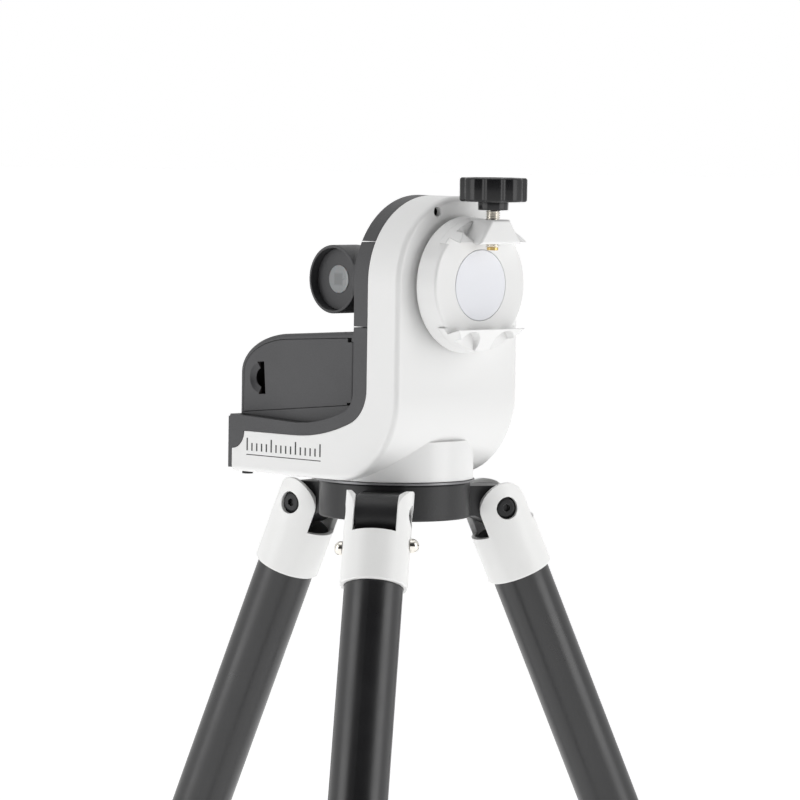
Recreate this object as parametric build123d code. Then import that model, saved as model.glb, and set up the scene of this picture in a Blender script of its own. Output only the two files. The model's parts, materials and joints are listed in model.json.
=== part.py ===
from build123d import *

import os
from math import acos, atan, atan2, cos, degrees, hypot, pi, radians, sin, tan

# ---------------------------------------------------------------- driving dimensions (mm, degrees)
# Frame: origin on the azimuth axis at the ground, +Z up, +X towards the saddle, -Y is the front.

# tripod
LEG_LENGTH = 640.0        # pivot to ground along a leg, legs shut
SPLAY = 23.4              # leg angle from the vertical, on the stop
LEG_AZIMUTHS = (-52.4, 67.6, 187.6)
PIVOT_RADIUS = 59.9
PIVOT_DROP = 15.5         # pivot below the top of the hub
HUB_R = 41.4
HUB_THICK = 20.0
HUB_PLATE = 10.0          # thickness over the recess in the hub's underside
HUB_RIM = 8.0             # wall round that recess
HUB_BORE_R = 5.0
HUB_BOSS_R = 12.0
HUB_BOSS_END = 14.0       # the boss round the bore ends this far below the hub's top
HUB_BOLT_R = HUB_BORE_R - 0.25
HUB_BOLT_HEAD_R = 8.0
HUB_BOLT_HEAD = 4.3
HUB_WASHER_R = 9.0
HUB_WASHER = 1.5
HUB_BOLT_IN = 9.0         # how far the bolt goes into the head's column
LUG_WIDTH = 22.6
LUG_R = 12.0
EAR_R = LUG_R + 2.0
TUBE_R = 15.9
TUBE_WALL = 1.5
SLEEVE_R = TUBE_R + 2.4
SLEEVE_END = 40.0         # sleeve length below the pivot
TUBE_LENGTH = 550.0
LOWER_R = TUBE_R - 2.9
LOWER_WALL = 1.3
LOWER_INSIDE = 460.0      # lower tube hidden in the upper one, legs shut
LOCK_R = TUBE_R + 4.1
LOCK_LENGTH = 42.0
LEVER_PIN_R = 1.5
LEVER_THICK = 5.0
FOOT_R = 16.0
FOOT_LENGTH = 34.0
PIVOT_BOLT_R = 3.0
BOLT_HEAD_R = 5.7
DOME_R = 3.9
DOME_SHANK_R = 1.6
DOME_DROP = {-1: 18.5, 1: 16.0}     # height of the two screws below the pivot, by side
DOME_LEG = 1              # the one leg that has them

# fits
RUN = 0.05                # radial clearance of a shaft in its bearing
GAP = 0.4                 # side clearance of moving pieces
SEAT = 0.1                # clearance round pieces that are pushed into a seat
SEAM = 0.25               # half the line between two covers

# head body
BODY_HALF = 46.5          # half width of the arm and the shelf
ARM_OUT = 47.7            # outer face of the arm
ARM_SPLIT = 24.7          # line between the white shell and the dark covers, on the arm
ARM_IN = 14.1             # inner face of the arm
SHELF_END = -82.0         # free end of the white shelf
END_CAP = 3.0             # dark cap over that end
SHELF_SPLIT = 24.2        # line between shell and covers, on the shelf
SHELF_TOP = 31.2          # top of the shelf's dark cover
SHELF_RISE = 2.0          # the cover's top rises this much towards its free end
CORNER_OUT_R = 47.0       # outer corner between shelf and arm
CORNER_START = -32.0      # where the inner corner leaves the shelf
SPLIT_R = 20.5            # corner radius of that line next to the arm, and where it ends
SPLIT_TURN_Z = 52.0
INNER_R = 12.0            # the same for the face of the dark covers
INNER_TURN_Z = 50.0
SHELF_END_R = 10.0
WALL = 3.0
COVER_WALL = 2.4
ALT_Z = 109.0             # altitude axis above the hub
ARM_TOP_R = BODY_HALF     # round top of the arm
ARM_TOP_Z = ALT_Z + 1.0   # its centre
BASE_R = 43.0             # round foot of the head
BASE_H = 22.0
BASE_RING = 1.2           # standing ring under it
BASE_RING_R = 43.8
HEAD_GAP = 0.3
COVER_SEAM_LOW = -23.5    # seams of the sensor cover, from the altitude axis
COVER_SEAM_HIGH = 22.5
ARM_EDGE_R = 3.0

# battery box
BOX_FRONT = -39.5
BOX_BACK = 39.5
BOX_LEFT = -83.4
BOX_CORNER_W = 42.0       # the box's upper left corner is part of an ellipse
BOX_CORNER_H = 23.0
BOX_TOP_LEFT = 76.8       # height of the roof line at the left, before the corner
BOX_TOP_RIGHT = 82.4      # height of the roof line at the arm
BOX_WALL = 2.6
DOOR_THICK = 2.2
DOOR_MARGIN = 3.2
DOOR_RIGHT = ARM_IN - 7.2
DOOR_AT = -37.0           # where the height of the door's lower edge is given
DOOR_TILT = 5.5           # slope of the door's lower edge
DOOR_LOW = 38.5
PULL_X = -66.1            # finger slot in the door
PULL_Z = 53.7
PULL_W = 5.4
PULL_H = 18.0
PULL_TILT = 4.5
BOWL_R = 12.7             # half-round hollow beside the finger slot
BOWL_DEPTH = 3.3
HINGE_R = 1.8
HINGE_PIN_R = 0.9
HINGE_BELOW_ROOF = 5.4

# altitude axis
SHAFT_R = 5.0
BEARING_R = SHAFT_R + 6.0
BEARING_W = 5.0
GEAR_MODULE = 0.8
ALT_TEETH = 90
ALT_PINION_TEETH = 15
AZ_TEETH = 60
AZ_PINION_TEETH = 12
GEAR_W = 4.0
BACKLASH = 0.25
MOTOR_R = 10.0
MOTOR_L = 11.0
AZ_MOTOR_L = 9.0          # its top stays under the dark cover
MOTOR_SHAFT_R = 1.25
ALT_GEAR_X = 31.0
MOTOR_GAP = 1.5           # from a pinion's face to its motor

# saddle, measured along +X from the hub of the altitude axis
SADDLE_BACK = ARM_OUT + 2.0
SADDLE_RIM = SADDLE_BACK + 4.0
SADDLE_R = 37.5
SADDLE_FLOOR = SADDLE_RIM + 10.0
SADDLE_FLOOR_R = 34.0
JAW_TOP = SADDLE_FLOOR + 9.3
JAW_R = 36.0
JAW_BACK = SADDLE_FLOOR + 1.5
SLOT_HALF = 23.5
SLOT_UNDERCUT = 2.2
BOSS_TOP = SADDLE_FLOOR + 15.1
BOSS_REACH = 35.6         # top of the bolt boss, from the altitude axis
BOSS_HALF = 6.8
BOSS_FOOT_HALF = 16.0
CLAMP_X = SADDLE_FLOOR + 8.6
CLAMP_R = 4.0
POCKET_Y = 13.0           # round pockets in the jaws
POCKET_Z = 32.0
POCKET_R = 7.6
POCKET_FLOOR = 1.2
CLAMP_PITCH = 1.25
CLAMP_TIP = 19.1          # tip of the clamp screw, from the altitude axis
KNOB_R = 18.2
KNOB_H = 12.9
KNOB_TOP = 58.0
KNOB_LOBES = 8
COLLAR_R = 8.3
COLLAR_H = 4.5
CAP_R = 19.0

# sensor
HOOD_X = -33.9
HOOD_R = 18.9
HOOD_MOUTH = 17.0
HOOD_WALL = 1.6
HOOD_DEPTH = 7.0
BARREL_R = 18.7
WINDOW_R = 7.8

# drive train in the base
COLUMN_R = 14.0
COLUMN_TOP = 20.5
BUSH_R = COLUMN_R + 4.0
BUSH_TOP = 12.0
AZ_GEAR_Z = 15.0

# small things
HOLE_Y = -17.6            # screw hole in the arm's outer face, from the altitude axis
HOLE_Z = 39.2
HOLE_R = 2.6
LEVEL_X = 32.0            # round level on top of the arm
LEVEL_Y = 10.0
LEVEL_R = 4.0
LEVEL_H = 3.4
LEVEL_FLOOR = 6.2         # floor of its recess below the arm's crown
PANEL_X = (-34.0, 12.0)   # socket panel in the back of the shelf
PANEL_Z = (8.0, 21.0)
PANEL_THICK = 1.8
BUTTON_X = 4.0
BUTTON_R = 4.2
JACK_X = -25.0
JACK_R = 3.2
USB_X = -10.0
PAD_X = SHELF_END + 6.0             # rubber pad under the shelf
PAD_Y = -40.0
PAD_R = 3.0
CELL_R = 7.1
CELL_L = 50.0
CELL_PITCH = 14.9
TRAY_X = (BOX_LEFT + ARM_IN) / 2
TRAY_Z = 53.0
BOARD_X = 30.0
BOARD_THICK = 1.6
CHIPS = ((-18, 5, 4), (-4, 4, 4), (12, 7, 3.5), (23, 3, 5))    # across, half width, half height
SCREW_LOW_Z = 60.0
SCREW_TOP = 29.2          # upper cover screws, across and above the altitude axis
COVER_SCREWS = ((-34.0, SCREW_LOW_Z), (34.0, SCREW_LOW_Z), (-SCREW_TOP, ALT_Z + SCREW_TOP), (SCREW_TOP, ALT_Z + SCREW_TOP))
POST_R = 3.4              # screw posts inside the arm
POST_BORE_R = 1.25

HUB_TOP = PIVOT_DROP + LEG_LENGTH * cos(radians(SPLAY))
ARM_TOP = ARM_TOP_Z + ARM_TOP_R
ABOVE = ARM_TOP + 5       # a height above everything
SHELF_BOTTOM = BASE_RING + HEAD_GAP
HEAD = Pos(0, 0, HUB_TOP)
PARTS = {}


# ---------------------------------------------------------------- helpers
def rod(start, direction, radius, length):
    """A cylinder that starts at a point and runs along a direction."""
    plane = Plane(origin=start, z_dir=direction)
    return plane * Cylinder(radius, length, align=(Align.CENTER, Align.CENTER, Align.MIN))


def taper(start, direction, r0, r1, length):
    """A cone frustum that starts at a point and runs along a direction."""
    plane = Plane(origin=start, z_dir=direction)
    return plane * Cone(r0, r1, length, align=(Align.CENTER, Align.CENTER, Align.MIN))


def block(x, y, z):
    """A box between pairs of x, y and z values."""
    size = [b - a for a, b in (x, y, z)]
    return Pos(*[(a + b) / 2 for a, b in (x, y, z)]) * Box(*size)


def prism_xz(outline, y0, y1):
    """A closed outline in X and Z, given a thickness from y0 to y1."""
    face = make_face(Plane.XZ * outline)
    return extrude(Pos(0, y1, 0) * face, amount=y1 - y0, dir=(0, -1, 0))


def half_above(z, size=400.0):
    """The space above a height."""
    return block((-size, size), (-size, size), (z, z + size))


def keep(name, shape, place=HEAD):
    """Put a finished piece in its place and remember it by name."""
    PARTS[name] = place * shape


def corner_curve(x_arm, z_shelf, r_arm, z_arm, x_shelf):
    """Two tangent arcs that turn the shelf's line into the arm's line; returns their points."""
    centre = (x_arm - r_arm, z_arm)
    dx = centre[0] - x_shelf
    dz = z_shelf - z_arm
    big = (r_arm ** 2 - dx ** 2 - dz ** 2) / (2 * (dz + r_arm))
    high = (x_shelf, z_shelf + big)
    span = hypot(centre[0] - high[0], centre[1] - high[1])
    ux, uz = (centre[0] - high[0]) / span, (centre[1] - high[1]) / span
    start = (x_shelf, z_shelf)
    turn = atan2(uz, ux)
    half_big = (turn - pi / 2) / 2
    mid_big = (high[0] + big * cos(half_big), high[1] + big * sin(half_big))
    joint = (high[0] + ux * big, high[1] + uz * big)
    mid_small = (centre[0] + r_arm * cos(turn / 2), centre[1] + r_arm * sin(turn / 2))
    return start, mid_big, joint, mid_small, (x_arm, z_arm)


def body_outline(inner, left, left_z, bottom, left_r, out, turn_r):
    """The closed L outline of the head, with a given inner corner curve."""
    start, mid_big, joint, mid_small, end = inner
    round_x, round_z = out - turn_r, bottom + turn_r
    low_mid = (round_x + turn_r * sin(pi / 4), round_z - turn_r * cos(pi / 4))
    slope = (left_z - start[1]) / (start[0] - left)
    corner = (left + left_r, left_z - slope * left_r)
    return outline_sum([
        Line(start, corner),
        RadiusArc(corner, (left, left_z - left_r), left_r),
        Line((left, left_z - left_r), (left, bottom)),
        Line((left, bottom), (round_x, bottom)),
        ThreePointArc((round_x, bottom), low_mid, (out, round_z)),
        Line((out, round_z), (out, ABOVE)),
        Line((out, ABOVE), (end[0], ABOVE)),
        Line((end[0], ABOVE), end),
        ThreePointArc(end, mid_small, joint),
        ThreePointArc(joint, mid_big, start),
    ])


def outline_sum(edges):
    """Join edges to one closed curve."""
    total = Curve()
    for edge in edges:
        total += edge
    return total


def round_top(shape, radius, half):
    """Cut the arm to its round top and to its width."""
    dome = rod((-200, 0, ARM_TOP_Z), (1, 0, 0), radius, 400)
    legs = block((-200, 200), (-half, half), (-10, ARM_TOP_Z))
    return shape & (dome + legs)


def gear(teeth, thickness, bore):
    """A spur gear on the Z axis with involute flanks, one gap centred on +X when teeth is odd."""
    pitch = GEAR_MODULE * teeth / 2
    base = pitch * cos(radians(20))
    tip = pitch + GEAR_MODULE * 0.95
    root = pitch - GEAR_MODULE * 1.25

    def involute(radius):
        angle = acos(min(1.0, base / radius))
        return tan(angle) - angle

    half = (pi * GEAR_MODULE / 2 - BACKLASH) / (2 * pitch) + involute(pitch)
    low = max(base, root)
    flank = [(low + (tip - low) * k / 3, half - involute(low + (tip - low) * k / 3)) for k in range(4)]
    if root < base:
        flank.insert(0, (root, half - involute(low)))
    points = []
    for tooth in range(teeth):
        middle = 2 * pi * tooth / teeth
        for r, a in flank:
            points.append((r * cos(middle - a), r * sin(middle - a)))
        for r, a in reversed(flank):
            points.append((r * cos(middle + a), r * sin(middle + a)))
    wheel = extrude(make_face(Polyline(*points, close=True)), amount=thickness)
    return wheel - Pos(0, 0, -1) * Cylinder(bore, thickness + 2, align=(Align.CENTER, Align.CENTER, Align.MIN))


# ---------------------------------------------------------------- tripod
def leg_place(azimuth):
    """Where a leg's own frame stands: origin on the pivot, -Z down the leg, +X outwards."""
    pivot = Pos(PIVOT_RADIUS, 0, HUB_TOP - PIVOT_DROP)
    return Rot(0, 0, azimuth) * pivot * Rot(0, -SPLAY, 0)


def hub_piece():
    """The black casting that holds the legs, top face at z = 0."""
    ring = rod((0, 0, -HUB_THICK), (0, 0, 1), HUB_R, HUB_THICK)
    ring = fillet(ring.edges().filter_by(GeomType.CIRCLE), 1.2)
    half = LUG_WIDTH / 2
    low = -PIVOT_DROP
    lug_sketch = outline_sum([
        Polyline((20, low + LUG_R), (PIVOT_RADIUS, low + LUG_R)),
        RadiusArc((PIVOT_RADIUS, low + LUG_R), (PIVOT_RADIUS, low - LUG_R), LUG_R),
        Polyline((PIVOT_RADIUS, low - LUG_R), (HUB_R + 2, -HUB_THICK), (20, -HUB_THICK), (20, low + LUG_R)),
    ])
    lug = prism_xz(lug_sketch, -half, half)
    for azimuth in LEG_AZIMUTHS:
        ring += Rot(0, 0, azimuth) * lug
    ring -= rod((0, 0, -HUB_THICK - 1), (0, 0, 1), HUB_BORE_R, HUB_THICK + 2)
    ring -= rod((0, 0, -HUB_THICK - 1), (0, 0, 1), HUB_R - HUB_RIM, HUB_THICK + 1 - HUB_PLATE)
    boss = rod((0, 0, -HUB_BOSS_END), (0, 0, 1), HUB_BOSS_R, HUB_BOSS_END - HUB_PLATE / 2)
    ring += boss - rod((0, 0, -HUB_BOSS_END - 1), (0, 0, 1), HUB_BORE_R, HUB_THICK)
    for azimuth in LEG_AZIMUTHS:
        pin = rod((PIVOT_RADIUS, -40, low), (0, 1, 0), PIVOT_BOLT_R + RUN, 80)
        ring -= Rot(0, 0, azimuth) * pin
        ring -= Rot(0, 0, azimuth) * rod((HUB_R - 3, 0, -2.2), (0, 0, 1), 2.4, 10)
    return ring


def pivot_bolt():
    """A leg's pivot: a barrel with a round socket head at each end, along Y."""
    reach = SLEEVE_R - 1.6
    bolt = rod((0, -reach, 0), (0, 1, 0), PIVOT_BOLT_R, 2 * reach)
    for side in (-1, 1):
        head = rod((0, side * (reach - 3.2), 0), (0, side, 0), BOLT_HEAD_R, 3.2)
        rim = head.edges().filter_by(GeomType.CIRCLE).sort_by(Axis.Y)[-1 if side > 0 else 0]
        head = fillet(rim, 1.6)
        socket = Plane(origin=(0, side * reach, 0), z_dir=(0, -side, 0)) * extrude(
            RegularPolygon(2.0 / cos(pi / 6), 6), amount=1.9)
        bolt += head - socket
        bolt -= socket
    return bolt


def clevis(sides):
    """The white sleeve at the top of a leg, with two ears round the hub's lug."""
    slot = LUG_R + GAP
    post = rod((0, 0, -SLEEVE_END), (0, 0, 1), SLEEVE_R, SLEEVE_END + EAR_R)
    mouth = post.edges().filter_by(GeomType.CIRCLE).sort_by(Axis.Z)[0]
    post = fillet(mouth, 0.8)
    sleeve = post & block((-40, 40), (-40, 40), (-SLEEVE_END, -slot))
    ears = post & (rod((0, -40, 0), (0, 1, 0), EAR_R, 80) + block((-EAR_R, EAR_R), (-40, 40), (-slot, 0)))
    ears -= block((-40, 40), (-LUG_WIDTH / 2 - GAP, LUG_WIDTH / 2 + GAP), (-slot, 40))
    shape = sleeve + ears
    shape -= rod((0, 0, -SLEEVE_END - 1), (0, 0, 1), TUBE_R + SEAT, SLEEVE_END + 20)
    shape -= rod((0, -40, 0), (0, 1, 0), PIVOT_BOLT_R + RUN, 80)
    for side in (-1, 1):
        shape -= rod((0, side * (SLEEVE_R - 5.1), 0), (0, side, 0), BOLT_HEAD_R + 0.5, 20)
    for side in sides:
        shape -= rod((0, side * (TUBE_R - 5), -DOME_DROP[side]), (0, side, 0), DOME_SHANK_R + SEAT, 20)
    return shape


def dome_screws():
    """Two round-headed screws that hold the tube in its sleeve."""
    screws = []
    for side in (-1, 1):
        at = -DOME_DROP[side]
        shank = rod((0, side * (TUBE_R - TUBE_WALL), at), (0, side, 0), DOME_SHANK_R, SLEEVE_R - TUBE_R + TUBE_WALL + 0.5)
        ball = Pos(0, side * (SLEEVE_R + 0.7), at) * Sphere(DOME_R)
        ball &= block((-9, 9), sorted((side * (SLEEVE_R + 0.05), side * 40)), (-60, 0))
        slot = block((-0.5, 0.5), sorted((side * (SLEEVE_R + 3.6), side * 40)), (at - 2, at + 2))
        cross = block((-2, 2), sorted((side * (SLEEVE_R + 3.6), side * 40)), (at - 0.5, at + 0.5))
        screws.append(shank + ball - slot - cross)
    return Compound(screws)


def plug(sides):
    """The dark stopper that closes the top of a leg's tube."""
    top = -(LUG_R + GAP) - 1.2
    disc = rod((0, 0, top - 6), (0, 0, 1), TUBE_R - 0.1, 6)
    disc = fillet(disc.edges().filter_by(GeomType.CIRCLE).sort_by(Axis.Z)[-1], 1.0)
    for side in sides:
        disc -= rod((0, side * 10, -DOME_DROP[side]), (0, side, 0), DOME_SHANK_R + SEAT, 20)
    return disc - rod((0, 0, top - 1.4), (0, 0, 1), 6.5, 5)


PLUG_END = LUG_R + GAP + 7.2
TUBE_END = PLUG_END + TUBE_LENGTH
LOCK_TOP = TUBE_END - LOCK_LENGTH * 0.55
LOCK_END = LOCK_TOP + LOCK_LENGTH


def upper_tube(sides):
    """The main tube of a leg."""
    tube = rod((0, 0, -TUBE_END), (0, 0, 1), TUBE_R, TUBE_LENGTH)
    tube -= rod((0, 0, -TUBE_END - 1), (0, 0, 1), TUBE_R - TUBE_WALL, TUBE_LENGTH + 2)
    for side in sides:
        tube -= rod((0, 0, -DOME_DROP[side]), (0, side, 0), DOME_SHANK_R + SEAT, 40)
    return tube


LEVER_X = LOCK_R + 4.5
LEVER_Y = -11.0
LEVER_HALF = 9.0


def leg_lock():
    """The collar that clamps the lower tube, with ears for its lever and their pin."""
    body = rod((0, 0, -LOCK_END), (0, 0, 1), LOCK_R, LOCK_LENGTH)
    body = chamfer(body.edges().filter_by(GeomType.CIRCLE), 1.5)
    middle = -(LOCK_TOP + LOCK_END) / 2
    low, high = middle - LEVER_HALF - 5, middle + LEVER_HALF + 5
    ear = rod((LEVER_X, LEVER_Y, low), (0, 0, 1), 4.5, high - low)
    ear += block((8, LEVER_X), (LEVER_Y - 4.5, LEVER_Y + 4.5), (low, high))
    body += ear
    space = rod((0, 0, middle - LEVER_HALF - GAP), (0, 0, 1), 60, 2 * (LEVER_HALF + GAP))
    body -= space - rod((0, 0, -LOCK_END), (0, 0, 1), LOCK_R - 1.5, LOCK_LENGTH)
    body -= rod((0, 0, -LOCK_END - 1), (0, 0, 1), LOWER_R + SEAT, LOCK_LENGTH + 2)
    body -= rod((0, 0, -TUBE_END), (0, 0, 1), TUBE_R + 0.02, LOCK_LENGTH)
    pin = rod((LEVER_X, LEVER_Y, low), (0, 0, 1), LEVER_PIN_R, high - low)
    return Compound([body - pin, pin])


def lock_lever():
    """The flip lever of a leg's collar, curved round it."""
    low = -(LOCK_TOP + LOCK_END) / 2 - LEVER_HALF
    high = 2 * LEVER_HALF
    inner = LOCK_R - 1.5 + GAP
    ring = rod((0, 0, low), (0, 0, 1), inner + LEVER_THICK, high) - rod((0, 0, low), (0, 0, 1), inner, high)
    start = degrees(atan2(LEVER_Y, LEVER_X))
    sector = ring & Rot(0, 0, start) * block((0, 60), (0, 60), (low, low + high))
    lever = sector + rod((LEVER_X, LEVER_Y, low), (0, 0, 1), 4.0, high)
    lever -= rod((0, 0, low), (0, 0, 1), inner, high)
    tips = lever.edges().filter_by(Axis.Z).sort_by(Axis.Y)[-2:]
    lever = fillet(tips, 1.8)
    return lever - rod((LEVER_X, LEVER_Y, low - 1), (0, 0, 1), LEVER_PIN_R + RUN, high + 2)


LOWER_TOP = TUBE_END - LOWER_INSIDE
FOOT_TOP = LEG_LENGTH - FOOT_LENGTH


def lower_tube():
    """The sliding tube of a leg, with the stopper at its upper end."""
    end = LEG_LENGTH - 12
    tube = rod((0, 0, -end), (0, 0, 1), LOWER_R, end - LOWER_TOP)
    tube -= rod((0, 0, -end - 1), (0, 0, 1), LOWER_R - LOWER_WALL, end - LOWER_TOP - 20)
    glide = rod((0, 0, -LOWER_TOP - 18), (0, 0, 1), TUBE_R - TUBE_WALL - RUN, 18)
    glide -= rod((0, 0, -LOWER_TOP - 19), (0, 0, 1), LOWER_R, 20)
    return tube + glide


def foot(azimuth):
    """The rubber shoe of a leg, flat where it stands."""
    shoe = taper((0, 0, -FOOT_TOP), (0, 0, -1), LOWER_R + 2.2, FOOT_R, FOOT_LENGTH + 14)
    for ring in range(3):
        at = -FOOT_TOP - 5 - 4 * ring
        groove = rod((0, 0, at - 1.2), (0, 0, 1), 30, 1.2) - rod((0, 0, at - 2), (0, 0, 1), LOWER_R + 1.6, 3)
        shoe -= groove
    shoe -= rod((0, 0, -(LEG_LENGTH - 12) - 0.1), (0, 0, 1), LOWER_R + 0.02, FOOT_LENGTH + 1)
    return (leg_place(azimuth) * shoe) & half_above(0, 900)


def hub_bolt():
    """The socket-head bolt that holds the head from below, with its washer."""
    under = -HUB_BOSS_END - HUB_WASHER
    head = rod((0, 0, under), (0, 0, -1), HUB_BOLT_HEAD_R, HUB_BOLT_HEAD)
    head = chamfer(head.edges().filter_by(GeomType.CIRCLE), 0.5)
    socket = extrude(RegularPolygon(4.0 / cos(pi / 6), 6), amount=3.0)
    head -= Pos(0, 0, under - HUB_BOLT_HEAD) * socket
    bolt = head + rod((0, 0, under), (0, 0, 1), HUB_BOLT_R, HUB_BOLT_IN - under)
    washer = rod((0, 0, under), (0, 0, 1), HUB_WASHER_R, HUB_WASHER)
    washer -= rod((0, 0, under - 1), (0, 0, 1), HUB_BOLT_R, HUB_WASHER + 2)
    return Compound([bolt, washer])


def tripod():
    """Hub, bolts and three legs."""
    keep("tripod_hub", hub_piece())
    bolts = [HEAD * Rot(0, 0, a) * Pos(PIVOT_RADIUS, 0, -PIVOT_DROP) * pivot_bolt() for a in LEG_AZIMUTHS]
    keep("pivot_bolts", Compound(bolts), Pos(0, 0, 0))
    keep("hub_bolt", hub_bolt())
    for number, azimuth in enumerate(LEG_AZIMUTHS, start=1):
        place = leg_place(azimuth)
        sides = tuple(DOME_DROP) if number == DOME_LEG else ()
        keep(f"leg_clevis_{number}", clevis(sides), place)
        keep(f"leg_plug_{number}", plug(sides), place)
        keep(f"upper_tube_{number}", upper_tube(sides), place)
        keep(f"leg_lock_{number}", leg_lock(), place)
        keep(f"lock_lever_{number}", lock_lever(), place)
        keep(f"lower_tube_{number}", lower_tube(), place)
        keep(f"foot_{number}", foot(azimuth), Pos(0, 0, 0))
    keep("dome_screws", dome_screws(), leg_place(LEG_AZIMUTHS[DOME_LEG - 1]))


# ---------------------------------------------------------------- head shells
SPLIT_CURVE = corner_curve(ARM_SPLIT, SHELF_SPLIT, SPLIT_R, SPLIT_TURN_Z, CORNER_START)


def shell_solid(inset):
    """The white body as a full solid, shrunk by an inset on its outer faces."""
    outline = body_outline(SPLIT_CURVE, SHELF_END + inset, SHELF_SPLIT, SHELF_BOTTOM + inset,
                           SHELF_END_R - inset, ARM_OUT - inset, CORNER_OUT_R - inset)
    half = BODY_HALF - inset
    solid = round_top(prism_xz(outline, -half, half), ARM_TOP_R - inset, half)
    return solid + rod((0, 0, SHELF_BOTTOM + inset), (0, 0, 1), BASE_R - inset, BASE_H)


def envelope(inset):
    """White body and dark covers as one solid, shrunk by an inset on the covers' faces."""
    curve = corner_curve(ARM_IN + inset, SHELF_TOP - inset, INNER_R + inset, INNER_TURN_Z, CORNER_START)
    outline = body_outline(curve, SHELF_END - END_CAP + inset, SHELF_TOP + SHELF_RISE - inset,
                           SHELF_BOTTOM, 1.5, ARM_OUT, CORNER_OUT_R)
    half = BODY_HALF - inset
    return round_top(prism_xz(outline, -half, half), ARM_TOP_R - inset, half)


def main_shell():
    """The white casing: open towards the dark covers, with seats for both axes."""
    shell = shell_solid(0)
    rim = [e for e in shell.edges() if abs(e.center().X - ARM_OUT) < 0.01 and e.center().Z > ALT_Z - 60]
    shell = fillet(rim, ARM_EDGE_R)
    shell -= shell_solid(WALL)
    shell += rod((0, 0, SHELF_BOTTOM + 1), (0, 0, 1), BUSH_R + 2.5, BUSH_TOP - SHELF_BOTTOM - 1)
    shell -= rod((0, 0, -5), (0, 0, 1), BUSH_R, 5 + BUSH_TOP + 1)
    shell += rod((ARM_OUT - WALL - 3, 0, ALT_Z), (1, 0, 0), BEARING_R + 2.5, WALL + 2)
    shell -= rod((ARM_OUT - WALL - 5, 0, ALT_Z), (1, 0, 0), BEARING_R, WALL + 10)
    shell -= rod((ARM_OUT - WALL - 2, HOLE_Y, ALT_Z + HOLE_Z), (1, 0, 0), HOLE_R, 20)
    for y, z in COVER_SCREWS:
        post = rod((ARM_OUT - WALL + 1, 0, 0), (-1, 0, 0), POST_R, ARM_OUT - WALL + 1 - ARM_IN - COVER_WALL)
        shell += Pos(0, y, z) * post
        shell -= Pos(0, y, z) * rod((ARM_IN, 0, 0), (1, 0, 0), POST_BORE_R, 12)
    shell += block((-5, 5), (AZ_MOTOR_Y + MOTOR_R, BODY_HALF - 1), (22, 27.5))
    recess = rod((LEVEL_X, LEVEL_Y, ARM_TOP - LEVEL_FLOOR), (0, 0, 1), LEVEL_R + SEAT, 20)
    cup = rod((LEVEL_X, LEVEL_Y, ARM_TOP - LEVEL_FLOOR - 1), (0, 0, 1), LEVEL_R + 1.5, 4.4)
    shell += cup
    shell -= recess
    shell -= block(PANEL_X, (BODY_HALF - PANEL_THICK, 60), PANEL_Z)
    shell -= block((PANEL_X[0] + 3, PANEL_X[1] - 3), (BODY_HALF - 8, 60), (PANEL_Z[0] + 1.5, PANEL_Z[1] - 1.5))
    return shell


def dark_cover():
    """The whole dark lining of the L, as a hollow skin."""
    line = corner_curve(ARM_SPLIT - SEAM, SHELF_SPLIT + SEAM, SPLIT_R - SEAM, SPLIT_TURN_Z, CORNER_START)
    wide = prism_xz(body_outline(line, SHELF_END - SEAM, SHELF_SPLIT + SEAM, SHELF_BOTTOM - 20, SHELF_END_R,
                                 ARM_OUT + 20, CORNER_OUT_R), -80, 80)
    cover = envelope(0) - wide
    cover -= block((-200, SHELF_END), (-80, 80), (-20, SHELF_BOTTOM + 2))
    cover -= envelope(COVER_WALL)
    trough = (envelope(0) - envelope(1.5)) & block((BOX_LEFT + 4, ARM_IN - 14), (BOX_FRONT - 4.2, BOX_FRONT + 0.2), (0, 60))
    return cover - trough


def inner_covers():
    """The dark lining in three pieces: shelf and corner, sensor cover, top."""
    cover = dark_cover()
    low, high = ALT_Z + COVER_SEAM_LOW, ALT_Z + COVER_SEAM_HIGH
    for y, z in COVER_SCREWS:
        cover -= rod((ARM_IN - 1, y, z), (1, 0, 0), 1.6, 20)
        cover -= rod((ARM_IN - 1, y, z), (1, 0, 0), 3.0, 2.4)
    keep("inner_cover_low", cover & block((-200, 200), (-80, 80), (-50, low - SEAM)))
    keep("inner_cover_top", cover & block((-200, 200), (-80, 80), (high + SEAM, 400)))
    middle = cover & block((-200, 200), (-80, 80), (low + SEAM, high - SEAM))
    collar = taper((ARM_IN + 1, 0, ALT_Z), (-1, 0, 0), BARREL_R + 3.2, BARREL_R + 2.0, 8)
    middle += collar - rod((ARM_IN, 0, ALT_Z), (-1, 0, 0), BARREL_R + 0.6, 20)
    middle += rod((ARM_IN + 1, 0, ALT_Z), (1, 0, 0), BEARING_R + 2.5, BEARING_W + 2)
    middle -= rod((ARM_IN - 1, 0, ALT_Z), (1, 0, 0), SHAFT_R + 1, 20)
    middle -= rod((ARM_IN + COVER_WALL, 0, ALT_Z), (1, 0, 0), BEARING_R, 20)
    keep("sensor_cover", middle)
    screws = []
    for y, z in COVER_SCREWS:
        head = rod((ARM_IN + 0.2, y, z), (1, 0, 0), 2.8, 1.2)
        cross = block((ARM_IN - 1, ARM_IN + 0.9), (y - 0.4, y + 0.4), (z - 1.6, z + 1.6))
        cross += block((ARM_IN - 1, ARM_IN + 0.9), (y - 1.6, y + 1.6), (z - 0.4, z + 0.4))
        screws.append(head + rod((ARM_IN + 1, y, z), (1, 0, 0), 1.2, 10) - cross)
    keep("cover_screws", Compound(screws))


# ---------------------------------------------------------------- battery box
ROOF_SLOPE = (BOX_TOP_RIGHT - BOX_TOP_LEFT) / (ARM_IN - BOX_LEFT)


def roof_height(x):
    """Height of the box's roof line before its corner."""
    return BOX_TOP_LEFT + ROOF_SLOPE * (x - BOX_LEFT)


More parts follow.
